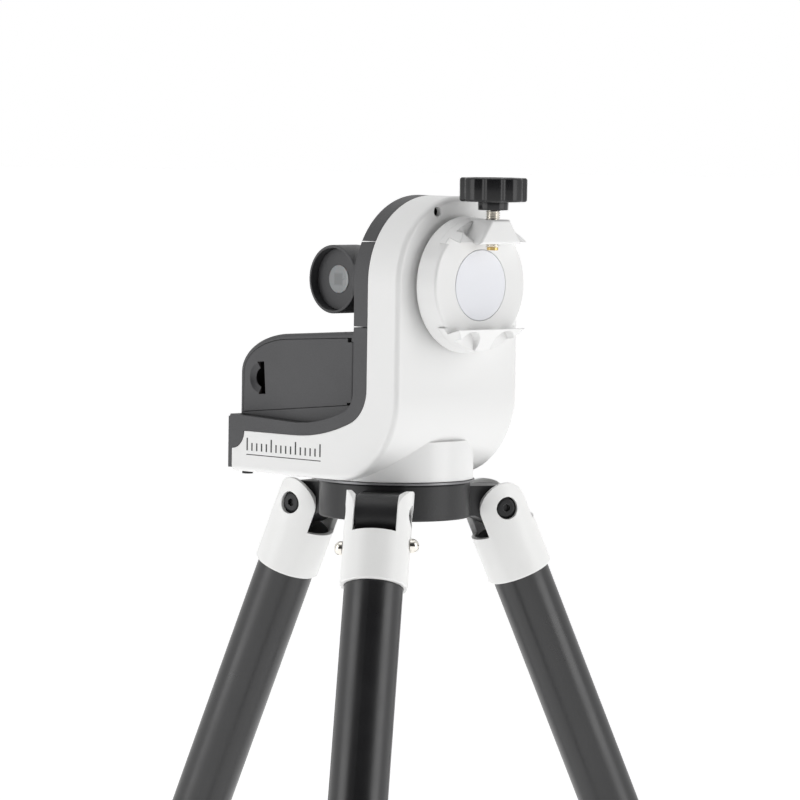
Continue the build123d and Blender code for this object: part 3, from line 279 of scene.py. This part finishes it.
def dust_effect():
    """Thin dust on faces that look up."""
    tree, start, end = effect(
        "Settled Dust", [("Vector", "NodeSocketVector", None)], [("Mask", "NodeSocketFloat")])
    place = add(tree, "ShaderNodeTexCoord")
    parts = add(tree, "ShaderNodeSeparateXYZ")
    tree.links.new(place.outputs["Normal"], parts.inputs[0])
    up = spread(tree, parts.outputs["Z"], 0.0, 1.0, 0.55, 1.0)
    specks = add(tree, "ShaderNodeTexNoise")
    specks.inputs["Scale"].default_value = 900.0
    specks.inputs["Detail"].default_value = 6.0
    tree.links.new(start.outputs["Vector"], specks.inputs["Vector"])
    broken = spread(tree, specks.outputs["Fac"], 0.0, 1.0, 0.45, 0.75)
    tree.links.new(maths(tree, "MULTIPLY", up, broken, clamp=True), end.inputs["Mask"])
    return tree


def brush_effect():
    """Fine lines round or along a turned or brushed piece."""
    tree, start, end = effect(
        "Brushed Lines",
        [("Vector", "NodeSocketVector", None)],
        [("Height", "NodeSocketFloat")])
    noise = add(tree, "ShaderNodeTexNoise")
    noise.inputs["Scale"].default_value = 1500.0
    noise.inputs["Detail"].default_value = 4.0
    tree.links.new(start.outputs["Vector"], noise.inputs["Vector"])
    tree.links.new(noise.outputs["Fac"], end.inputs["Height"])
    return tree


EFFECTS = {}


def make_effects():
    EFFECTS.update(
        grain=grain_effect(), blotch=blotch_effect(), edge=edge_effect(),
        dust=dust_effect(), brush=brush_effect())


def use_effect(tree, name, vector, **values):
    """Place a shared effect in a material."""
    node = add(tree, "ShaderNodeGroup", node_tree=EFFECTS[name])
    tree.links.new(vector, node.inputs["Vector"])
    for label, value in values.items():
        node.inputs[label].default_value = value
    return node


# ---------------------------------------------------------------- finishes
class Finish:
    """A material under way: its tree, shader and object coordinates."""

    def __init__(self, name):
        self.material = bpy.data.materials.new(name)
        self.material.use_nodes = True
        self.tree = self.material.node_tree
        self.shader = self.tree.nodes["Principled BSDF"]
        self.place = add(self.tree, "ShaderNodeTexCoord").outputs["Object"]

    def set(self, **values):
        for label, value in values.items():
            self.shader.inputs[label.replace("_", " ")].default_value = value

    def link(self, socket, label):
        self.tree.links.new(socket, self.shader.inputs[label])

    def mapped(self, **values):
        """Object coordinates moved, turned or stretched."""
        node = add(self.tree, "ShaderNodeMapping")
        self.tree.links.new(self.place, node.inputs["Vector"])
        for label, value in values.items():
            node.inputs[label].default_value = value
        return node.outputs["Vector"]


def surface(name, colour, rough, grain=1800.0, depth=0.02 * MM, edge=0.35 * MM, tone=0.06,
            patches=0.05, wear=None, dust=0.0, lines=None, tint=None, **shader):
    """A finish with grain, patches, soft worn edges and dust."""
    made = Finish(name)
    tree = made.tree
    made.set(**shader)
    fine = use_effect(tree, "grain", made.place, Scale=grain)
    patch = use_effect(tree, "blotch", made.place)
    soft = use_effect(tree, "edge", made.place, Radius=edge)
    base = tint(made) if tint else None
    light = tuple(min(1.0, c * (1 + tone)) for c in colour)
    dark = tuple(c * (1 - tone) for c in colour)
    shade = blend_colour(tree, fine.outputs["Tone"], dark, light)
    if base is not None:
        shade = blend_colour(tree, base[0], shade, base[1])
    if wear is not None:
        amount = maths(tree, "MULTIPLY", soft.outputs["Mask"], wear[0])
        shade = blend_colour(tree, amount, shade, wear[1])
    if dust:
        settled = use_effect(tree, "dust", made.place)
        amount = maths(tree, "MULTIPLY", settled.outputs["Mask"], dust)
        shade = blend_colour(tree, amount, shade, (0.42, 0.41, 0.39))
    made.link(shade, "Base Color")
    made.link(spread(tree, patch.outputs["Value"], rough - patches, rough + patches), "Roughness")
    height = fine.outputs["Height"]
    if lines is not None:
        brushed = use_effect(tree, "brush", made.mapped(Scale=lines))
        height = maths(tree, "ADD", maths(tree, "MULTIPLY", height, 0.25), brushed.outputs["Height"])
    bump = add(tree, "ShaderNodeBump")
    bump.inputs["Strength"].default_value = 1.0
    bump.inputs["Distance"].default_value = depth
    tree.links.new(height, bump.inputs["Height"])
    tree.links.new(soft.outputs["Normal"], bump.inputs["Normal"])
    made.link(bump.outputs["Normal"], "Normal")
    return made.material


def centre_of(node):
    low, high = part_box(node)
    return (low + high) / 2


def opening_shade_tint(made):
    """Painted shade: a darker square on the milky window stands in for the shaded opening behind it."""
    middle = centre_of("sensor_window")
    parts = add(made.tree, "ShaderNodeSeparateXYZ")
    made.tree.links.new(made.mapped(Location=-middle), parts.inputs[0])
    across = maths(made.tree, "ABSOLUTE", parts.outputs["X"])
    upright = maths(made.tree, "ABSOLUTE", parts.outputs["Z"])
    widest = maths(made.tree, "MAXIMUM", across, upright)
    return spread(made.tree, widest, 0.55, 0.0, 2.6 * MM, 3.9 * MM), (0.13, 0.135, 0.14)


def band_tint(made):
    """A copper-coloured end band on the cells."""
    parts = add(made.tree, "ShaderNodeSeparateXYZ")
    made.tree.links.new(made.place, parts.inputs[0])
    return maths(made.tree, "LESS_THAN", parts.outputs["Y"], -0.010), (0.55, 0.26, 0.10)


def track_tint(made):
    """Lighter tracks on the circuit board."""
    bricks = add(made.tree, "ShaderNodeTexBrick")
    bricks.inputs["Scale"].default_value = 160.0
    bricks.inputs["Mortar Size"].default_value = 0.03
    made.tree.links.new(made.mapped(Rotation=(0.0, pi / 2, 0.0)), bricks.inputs["Vector"])
    return bricks.outputs["Fac"], (0.05, 0.30, 0.13)


def build_finishes(colours):
    """One material for each finish of the object."""
    chip = (0.35, (0.16, 0.16, 0.165))
    rub = (0.45, (0.60, 0.59, 0.57))
    return {
        "white_paint": surface(
            "White Paint", tuple(colours.shell), 0.30, grain=2600.0, depth=0.004 * MM, tone=0.012,
            patches=0.015, edge=0.9 * MM, dust=0.02, Coat_Weight=0.25, Coat_Roughness=0.12),
        "white_plastic": surface(
            "White Plastic", tuple(colours.sleeve), 0.34, grain=2200.0, depth=0.006 * MM, tone=0.012,
            patches=0.02, edge=0.6 * MM, dust=0.02),
        "cap_face": surface(
            "Cap Face", tuple(colours.cap), 0.42, grain=3200.0, depth=0.006 * MM, tone=0.02,
            edge=0.3 * MM, Metallic=0.0),
        "dark_plastic": surface(
            "Charcoal Plastic", tuple(colours.cover), 0.50, grain=2400.0, depth=0.035 * MM, tone=0.16,
            edge=0.55 * MM, wear=chip, dust=0.12),
        "black_cast": surface(
            "Hub Paint", tuple(colours.casting), 0.40, grain=1500.0, depth=0.05 * MM, tone=0.15,
            edge=0.7 * MM, wear=chip, dust=0.03, Specular_IOR_Level=0.4),
        "black_tube": surface(
            "Black Anodise", tuple(colours.tube), 0.31, grain=2600.0, depth=0.012 * MM, tone=0.2,
            edge=0.3 * MM, wear=rub, dust=0.01, Specular_IOR_Level=0.7),
        "bare_tube": surface(
            "Bare Tube", (0.60, 0.61, 0.62), 0.28, grain=2000.0, depth=0.008 * MM, tone=0.04,
            lines=(1.0, 1.0, 0.04), Metallic=1.0),
        "black_plastic": surface(
            "Black Moulding", tuple(colours.moulding), 0.46, grain=2000.0, depth=0.03 * MM, tone=0.2,
            edge=0.5 * MM, wear=chip, dust=0.10),
        "knob_black": surface(
            "Glossy Black", tuple(colours.knob), 0.20, grain=2600.0, depth=0.004 * MM, tone=0.2,
            edge=0.5 * MM, patches=0.06, dust=0.02, Specular_IOR_Level=0.32, Coat_Weight=0.12,
            Coat_Roughness=0.08),
        "nickel": surface(
            "Nickel Plate", tuple(colours.bright), 0.17, grain=2600.0, depth=0.004 * MM, tone=0.05,
            edge=0.15 * MM, Metallic=1.0),
        "black_steel": surface(
            "Black Oxide", (0.022, 0.022, 0.023), 0.34, grain=2200.0, depth=0.012 * MM, tone=0.25,
            edge=0.35 * MM, wear=(0.6, (0.30, 0.30, 0.30)), Metallic=0.6),
        "steel": surface(
            "Plain Steel", (0.52, 0.52, 0.53), 0.30, grain=2000.0, depth=0.01 * MM, tone=0.06,
            lines=(1.0, 0.05, 1.0), Metallic=1.0),
        "brass": surface(
            "Machined Brass", (0.66, 0.47, 0.18), 0.28, grain=2000.0, depth=0.01 * MM, tone=0.06,
            lines=(0.05, 1.0, 1.0), Metallic=1.0),
        "bronze": surface(
            "Sintered Bronze", (0.46, 0.30, 0.14), 0.48, grain=1400.0, depth=0.04 * MM, tone=0.2,
            Metallic=1.0),
        # The darker square on the window is painted shade of the opening behind it.
        "window": surface(
            "Milky Window", tuple(colours.window), 0.30, grain=2600.0, depth=0.003 * MM, tone=0.03,
            edge=0.3 * MM, tint=opening_shade_tint, Coat_Weight=0.4, Coat_Roughness=0.1,
            Subsurface_Weight=0.15, Subsurface_Scale=1.5 * MM),
        "rubber": surface(
            "Black Rubber", (0.018, 0.018, 0.018), 0.68, grain=1200.0, depth=0.06 * MM, tone=0.25,
            edge=0.6 * MM, wear=(0.3, (0.10, 0.10, 0.10)), dust=0.35),
        "board": surface(
            "Circuit Board", (0.012, 0.12, 0.05), 0.36, grain=1800.0, depth=0.01 * MM, tint=track_tint),
        "cell": surface(
            "Cell Sleeve", (0.05, 0.055, 0.065), 0.22, grain=2200.0, depth=0.005 * MM, tint=band_tint,
            Coat_Weight=0.5),
        "vial": surface(
            "Level Liquid", (0.42, 0.66, 0.08), 0.06, grain=1500.0, depth=0.002 * MM, tone=0.05,
            patches=0.02, Transmission_Weight=0.55, IOR=1.4),
        "grey_ring": surface(
            "Grey Anodise", (0.20, 0.20, 0.205), 0.34, grain=2200.0, depth=0.012 * MM, tone=0.1,
            Metallic=0.7),
    }


FINISHES = {}


# ---------------------------------------------------------------- mesh tools
def placed(origin, direction, across=(1.0, 0.0, 0.0)):
    """The matrix that stands a piece's own Z along a direction."""
    up = Vector(direction).normalized()
    side = Vector(across) - Vector(across).dot(up) * up
    side.normalize()
    matrix = Matrix((side, up.cross(side), up)).transposed().to_4x4()
    matrix.translation = Vector(origin)
    return matrix


def lathe(profile, steps=64):
    """A round shape from points of radius and height."""
    bm = bmesh.new()
    verts = [bm.verts.new((radius, 0.0, height)) for radius, height in profile]
    for first, second in zip(verts, verts[1:]):
        bm.edges.new((first, second))
    bmesh.ops.spin(
        bm, geom=bm.verts[:] + bm.edges[:], cent=(0, 0, 0), axis=(0, 0, 1), dvec=(0, 0, 0),
        angle=2 * pi, steps=steps, use_merge=True)
    tidy(bm)
    return bm


def tidy(bm):
    """Merge doubles and point the faces outwards."""
    bmesh.ops.remove_doubles(bm, verts=bm.verts, dist=0.002 * MM)
    bmesh.ops.recalc_face_normals(bm, faces=bm.faces)


def soften(bm, amount, segments=3, angle=SHARP, where=None):
    """Round every edge that turns more than an angle."""
    edges = [
        e for e in bm.edges
        if len(e.link_faces) == 2 and e.calc_face_angle(0.0) > angle and (where is None or where(e))]
    bmesh.ops.bevel(
        bm, geom=edges, offset=amount, offset_type="OFFSET", affect="EDGES", segments=segments,
        profile=0.5, material=-1, clamp_overlap=True)


def join_in(bm, other, matrix=None):
    """Add another shape to this one and free it."""
    if matrix is not None:
        bmesh.ops.transform(other, matrix=matrix, verts=other.verts)
    mesh = bpy.data.meshes.new("joined")
    other.to_mesh(mesh)
    other.free()
    bm.from_mesh(mesh)
    bpy.data.meshes.remove(mesh)


def piece(name, bm, body, slot, matrix=None, replaces=()):
    """Finish a shape as an object that rides on a body and takes a slot's finish."""
    if matrix is not None:
        bmesh.ops.transform(bm, matrix=matrix, verts=bm.verts)
    for face in bm.faces:
        face.smooth = True
    for edge in bm.edges:
        edge.smooth = len(edge.link_faces) == 2 and edge.calc_face_angle(0.0) < SHARP
    mesh = bpy.data.meshes.new(name)
    bm.to_mesh(mesh)
    bm.free()
    made = bpy.data.objects.new(name, mesh)
    bpy.context.scene.collection.objects.link(made)
    mesh.materials.append(FINISHES[slot])
    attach(made, body)
    if replaces:
        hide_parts(*replaces)
    return made


# ---------------------------------------------------------------- operators
class MOUNT_OT_finishes(bpy.types.Operator):
    """Give every CAD piece the finish of its slot"""

    bl_idname = "mount.finishes"
    bl_label = "Finishes"

    def execute(self, context):
        colours, _, _ = settings()
        make_effects()
        FINISHES.update(build_finishes(colours))
        for name, node in frame["nodes"].items():
            node.data.materials.clear()
            node.data.materials.append(FINISHES[SLOT_OF[name]])
        return {"FINISHED"}


class MOUNT_OT_clamp_thread(bpy.types.Operator):
    """Turn the clamp screw with a real thread"""

    bl_idname = "mount.clamp_thread"
    bl_label = "Clamp Screw"

    def execute(self, context):
        _, sizes, _ = settings()
        low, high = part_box("clamp_screw")
        radius = (high.x - low.x) / 2
        root = radius - sizes.thread_depth
        turns = int((high.z - low.z) / sizes.pitch) + 3
        bm = bmesh.new()
        profile = (
            (root, 0.0), (root, ROOT_END), (radius, CREST_START), (radius, CREST_END), (root, ROOT_START),
            (root, 1.0))
        verts = [bm.verts.new((r, 0.0, share * sizes.pitch)) for r, share in profile]
        for first, second in zip(verts, verts[1:]):
            bm.edges.new((first, second))
        bmesh.ops.spin(
            bm, geom=bm.verts[:] + bm.edges[:], cent=(0, 0, 0), axis=(0, 0, 1),
            dvec=(0, 0, sizes.pitch / THREAD_STEPS), angle=2 * pi * turns, steps=THREAD_STEPS * turns,
            use_merge=False)
        bmesh.ops.remove_doubles(bm, verts=bm.verts, dist=0.002 * MM)
        length = high.z - low.z
        bottom = 2 * sizes.pitch
        for height, clear in ((bottom, {"clear_inner": True}), (bottom + length, {"clear_outer": True})):
            cut = bmesh.ops.bisect_plane(
                bm, geom=bm.verts[:] + bm.edges[:] + bm.faces[:], dist=0.0001 * MM,
                plane_co=(0, 0, height), plane_no=(0, 0, 1), **clear)
            rim = [e for e in cut["geom_cut"] if isinstance(e, bmesh.types.BMEdge)]
            bmesh.ops.holes_fill(bm, edges=rim, sides=0)
        bmesh.ops.recalc_face_normals(bm, faces=bm.faces)
        middle = (low + high) / 2
        piece("clamp_thread", bm, "clamp", "nickel",
              Matrix.Translation((middle.x, middle.y, low.z - bottom)), ["clamp_screw"])
        return {"FINISHED"}


class MOUNT_OT_clamp_grip(bpy.types.Operator):
    """Make the lobed clamp knob and its collar"""

    bl_idname = "mount.clamp_grip"
    bl_label = "Clamp Knob"

    def execute(self, context):
        _, sizes, _ = settings()
        low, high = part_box("clamp_knob")
        outer = (high.x - low.x) / 2 - 0.01 * MM
        top = high.z - low.z
        bm = bmesh.new()
        bmesh.ops.create_circle(bm, cap_ends=True, radius=outer, segments=sizes.lobes * 20)
        for vert in bm.verts:
            angle = vert.co.xy.angle_signed(Vector((1.0, 0.0)), 0.0)
            hollow = max(0.0, -cos(sizes.lobes * angle)) ** HOLLOW_POWER
            vert.co.xy *= 1.0 - hollow * sizes.lobe_depth / outer
        lifted = bmesh.ops.extrude_face_region(bm, geom=bm.faces[:])
        rising = [g for g in lifted["geom"] if isinstance(g, bmesh.types.BMVert)]
        bmesh.ops.translate(bm, verts=rising, vec=(0, 0, sizes.knob_height))
        bmesh.ops.recalc_face_normals(bm, faces=bm.faces)
        rims = [e for e in bm.edges if abs(e.verts[0].co.z - e.verts[1].co.z) < 0.01 * MM]
        bmesh.ops.bevel(
            bm, geom=rims, offset=sizes.knob_edge, offset_type="OFFSET", affect="EDGES", segments=5,
            profile=0.5, material=-1, clamp_overlap=True)
        lid = max(bm.faces, key=lambda f: len(f.verts) * (1 + f.calc_center_median().z))
        for thickness, depth in LID_STEPS:
            bmesh.ops.inset_region(bm, faces=[lid], thickness=thickness, depth=depth)
        bmesh.ops.translate(bm, verts=bm.verts, vec=(0, 0, top - sizes.knob_height))
        collar = bmesh.new()
        height = top - sizes.knob_height
        bmesh.ops.create_cone(
            collar, cap_ends=True, segments=sizes.collar_sides, radius1=sizes.collar_radius * 0.985,
            radius2=sizes.collar_radius, depth=height + 1.0 * MM)
        soften(collar, 0.35 * MM, segments=2, angle=radians(15))
        join_in(bm, collar, Matrix.Translation((0, 0, (height + 1.0 * MM) / 2)))
        middle = (low + high) / 2
        piece("clamp_grip", bm, "clamp", "knob_black",
              Matrix.Translation((middle.x, middle.y, low.z)), ["clamp_knob"])
        return {"FINISHED"}


class MOUNT_OT_sensor_window(bpy.types.Operator):
    """Crown the milky window of the sensor"""

    bl_idname = "mount.sensor_window"
    bl_label = "Sensor Window"

    def execute(self, context):
        _, sizes, _ = settings()
        low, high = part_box("sensor_window")
        radius = (high.x - low.x) / 2
        thick = high.y - low.y
        middle = (low + high) / 2
        edge = thick - sizes.window_dome
        rise = [(radius * cos(k * pi / 12), edge + sizes.window_dome * sin(k * pi / 12)) for k in range(1, 6)]
        profile = [(0.0, 0.0), (radius, 0.0), (radius, edge), *rise, (0.0, thick)]
        bm = lathe(profile, 72)
        soften(bm, 0.18 * MM, segments=2)
        piece("window_crown", bm, "altitude", "window",
              placed((middle.x, high.y, middle.z), (0, -1, 0)), ["sensor_window"])
        return {"FINISHED"}


class MOUNT_OT_level(bpy.types.Operator):
    """Build the round level on top of the arm"""

    bl_idname = "mount.level"
    bl_label = "Round Level"

    def execute(self, context):
        low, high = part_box("bubble_level")
        radius = (high.x - low.x) / 2
        height = high.z - low.z
        base = Matrix.Translation(((low.x + high.x) / 2, (low.y + high.y) / 2, low.z))
        inner = radius - CUP_WALL
        cup = lathe([(0.0, 0.0), (radius, 0.0), (radius, height), (inner, height),
                     (inner, CUP_FLOOR), (0.0, CUP_FLOOR)], 56)
        soften(cup, 0.15 * MM, segments=2)
        piece("level_cup", cup, "head", "black_plastic", base.copy(), ["bubble_level"])
        liquid = lathe([(0.0, 0.75 * MM), (inner - 0.05 * MM, 0.75 * MM),
                        (inner - 0.05 * MM, height - 0.75 * MM), (inner * 0.5, height - 0.55 * MM),
                        (0.0, height - 0.48 * MM)], 48)
        piece("level_liquid", liquid, "head", "vial", base.copy())
        bubble = bmesh.new()
        bmesh.ops.create_uvsphere(bubble, u_segments=28, v_segments=14, radius=BUBBLE_R)
        bmesh.ops.scale(bubble, vec=(1, 1, BUBBLE_FLATNESS), verts=bubble.verts)
        piece("level_bubble", bubble, "head", "white_plastic",
              base @ Matrix.Translation((0.35 * MM, 0.2 * MM, height - 0.62 * MM)))
        ring = lathe([(RING_IN, 0.0), (RING_OUT, 0.0), (RING_OUT, RING_H), (RING_IN, RING_H),
                      (RING_IN, 0.0)], 48)
        piece("level_ring", ring, "head", "black_plastic",
              base @ Matrix.Translation((0, 0, height - 0.5 * MM)))
        return {"FINISHED"}


class MOUNT_OT_marks(bpy.types.Operator):
    """Print a plain scale of bars on the front of the shelf"""

    bl_idname = "mount.marks"
    bl_label = "Printed Marks"

    def execute(self, context):
        _, sizes, _ = settings()
        low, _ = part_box("main_shell")
        bm = bmesh.new()
        left, line = low.x + MARKS_LEFT, low.z + MARKS_UP
        face = low.y - 0.01 * MM
        run = (MARK_COUNT - 1) * MARK_PITCH
        for index in range(MARK_COUNT):
            height = sizes.mark_height * (1.0 if index % 5 == 0 else MARK_SHORT)
            bar = bmesh.new()
            bmesh.ops.create_cube(bar, size=1.0)
            bmesh.ops.scale(bar, vec=(MARK_WIDTH, MARK_INK, height), verts=bar.verts)
            soften(bar, 0.02 * MM, segments=1)
            join_in(bm, bar, Matrix.Translation((left + index * MARK_PITCH, face, line + height / 2)))
        rule = bmesh.new()
        bmesh.ops.create_cube(rule, size=1.0)
        bmesh.ops.scale(rule, vec=(run + MARK_WIDTH, MARK_INK, RULE_H), verts=rule.verts)
        join_in(bm, rule, Matrix.Translation((left + run / 2, face, line - RULE_DROP)))
        piece("shelf_marks", bm, "head", "black_plastic")
        return {"FINISHED"}


class MOUNT_OT_stage(bpy.types.Operator):
    """Lay the floor, hang the lights and set the camera"""

    bl_idname = "mount.stage"
    bl_label = "Studio"

    def execute(self, context):
        _, _, studio = settings()
        scene = context.scene
        self.floor(scene)
        low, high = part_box("tripod_hub")
        right = Vector((cos(studio.azimuth), sin(studio.azimuth), 0.0))
        target = Vector((0.0, 0.0, high.z + studio.aim)) + right * studio.shift
        toward = Vector((sin(studio.azimuth) * cos(studio.elevation),
                         -cos(studio.azimuth) * cos(studio.elevation), sin(studio.elevation)))
        self.room(scene, studio, toward)
        for name, turn, power in (("left_box", -SIDE_TURN, 1.0), ("right_box", SIDE_TURN, 1.1)):
            side = Matrix.Rotation(radians(turn), 3, "Z") @ Vector((toward.x, toward.y, 0.0)).normalized()
            self.box_light(scene, name, target + side * SIDE_AWAY + Vector((0, 0, SIDE_UP)), target,
                           SIDE_SIZE, studio.side_power * power)
        self.box_light(scene, "top_box", target + Vector((0, 0, TOP_UP)), target,
                       TOP_SIZE, studio.top_power)
        data = bpy.data.cameras.new("camera")
        data.sensor_width = 36.0
        data.lens = studio.lens
        data.clip_end = 200.0
        camera = bpy.data.objects.new("camera", data)
        scene.collection.objects.link(camera)
        camera.rotation_mode = "QUATERNION"
        look = (-toward).to_track_quat("-Z", "Y").to_matrix().to_4x4()
        turned = look @ Matrix.Rotation(studio.roll, 4, "Z")
        turned.translation = target + toward * studio.distance
        camera.matrix_world = turned
        scene.camera = camera
        scene.view_settings.view_transform = "Standard"
        return {"FINISHED"}

    def floor(self, scene):
        bm = bmesh.new()
        bmesh.ops.create_circle(bm, cap_ends=True, radius=FLOOR_R, segments=96)
        mesh = bpy.data.meshes.new("floor")
        bm.to_mesh(mesh)
        bm.free()
        floor = bpy.data.objects.new("floor", mesh)
        scene.collection.objects.link(floor)
        made = Finish("Pale Floor")
        noise = use_effect(made.tree, "blotch", made.place, Scale=3.0)
        shade = blend_colour(made.tree, noise.outputs["Value"], (0.86, 0.86, 0.86), (0.90, 0.90, 0.90))
        made.link(shade, "Base Color")
        made.set(Roughness=0.9, Emission_Color=(1.0, 1.0, 1.0, 1.0), Emission_Strength=0.5,
                 Specular_IOR_Level=0.1)
        mesh.materials.append(made.material)

    def room(self, scene, studio, toward):
        world = bpy.data.worlds.new("studio")
        world.use_nodes = True
        tree = world.node_tree
        back = tree.nodes["Background"]
        back.inputs["Color"].default_value = (1.0, 1.0, 1.0, 1.0)
        seen = add(tree, "ShaderNodeLightPath")
        where = add(tree, "ShaderNodeTexCoord")
        facing = add(tree, "ShaderNodeVectorMath", operation="DOT_PRODUCT")
        tree.links.new(where.outputs["Generated"], facing.inputs[0])
        facing.inputs[1].default_value = toward
        front = add(tree, "ShaderNodeMapRange", interpolation_type="SMOOTHSTEP")
        tree.links.new(facing.outputs["Value"], front.inputs["Value"])
        front.inputs["From Min"].default_value = -0.1
        front.inputs["From Max"].default_value = 0.85
        front.inputs["To Min"].default_value = studio.room
        front.inputs["To Max"].default_value = studio.room_front
        strength = maths(tree, "MAXIMUM", front.outputs["Result"], seen.outputs["Is Camera Ray"])
        tree.links.new(strength, back.inputs["Strength"])
        scene.world = world

    def box_light(self, scene, name, place, target, size, power):
        data = bpy.data.lights.new(name, "AREA")
        data.shape = "RECTANGLE"
        data.size, data.size_y = size
        data.energy = power
        light = bpy.data.objects.new(name, data)
        light.location = place
        light.rotation_mode = "QUATERNION"
        light.rotation_quaternion = (target - place).to_track_quat("-Z", "Y")
        scene.collection.objects.link(light)


class MOUNT_PT_panel(bpy.types.Panel):
    """Steps and settings of the mount"""

    bl_idname = "MOUNT_PT_panel"
    bl_label = "Telescope Mount"
    bl_space_type = "VIEW_3D"
    bl_region_type = "UI"
    bl_category = "Mount"

    def draw(self, context):
        for step in STEPS:
            self.layout.operator(step.bl_idname)
        for group in settings():
            box = self.layout.box()
            for name in group.__annotations__:
                box.prop(group, name)


STEPS = (
    MOUNT_OT_finishes,
    MOUNT_OT_clamp_thread,
    MOUNT_OT_clamp_grip,
    MOUNT_OT_sensor_window,
    MOUNT_OT_level,
    MOUNT_OT_marks,
    MOUNT_OT_stage,
)
GROUPS = (
    ("mount_colours", MountColours),
    ("mount_sizes", MountSizes),
    ("mount_studio", MountStudio),
)


def register():
    for _, group in GROUPS:
        bpy.utils.register_class(group)
    for cls in (*STEPS, MOUNT_PT_panel):
        bpy.utils.register_class(cls)
    for name, group in GROUPS:
        setattr(bpy.types.Scene, name, PointerProperty(type=group))


def unregister():
    for name, _ in GROUPS:
        delattr(bpy.types.Scene, name)
    for cls in (MOUNT_PT_panel, *reversed(STEPS)):
        bpy.utils.unregister_class(cls)
    for _, group in reversed(GROUPS):
        bpy.utils.unregister_class(group)


def main():
    register()
    for step in STEPS:
        group, name = step.bl_idname.split(".")
        getattr(getattr(bpy.ops, group), name)()


if __name__ == "__main__":
    main()
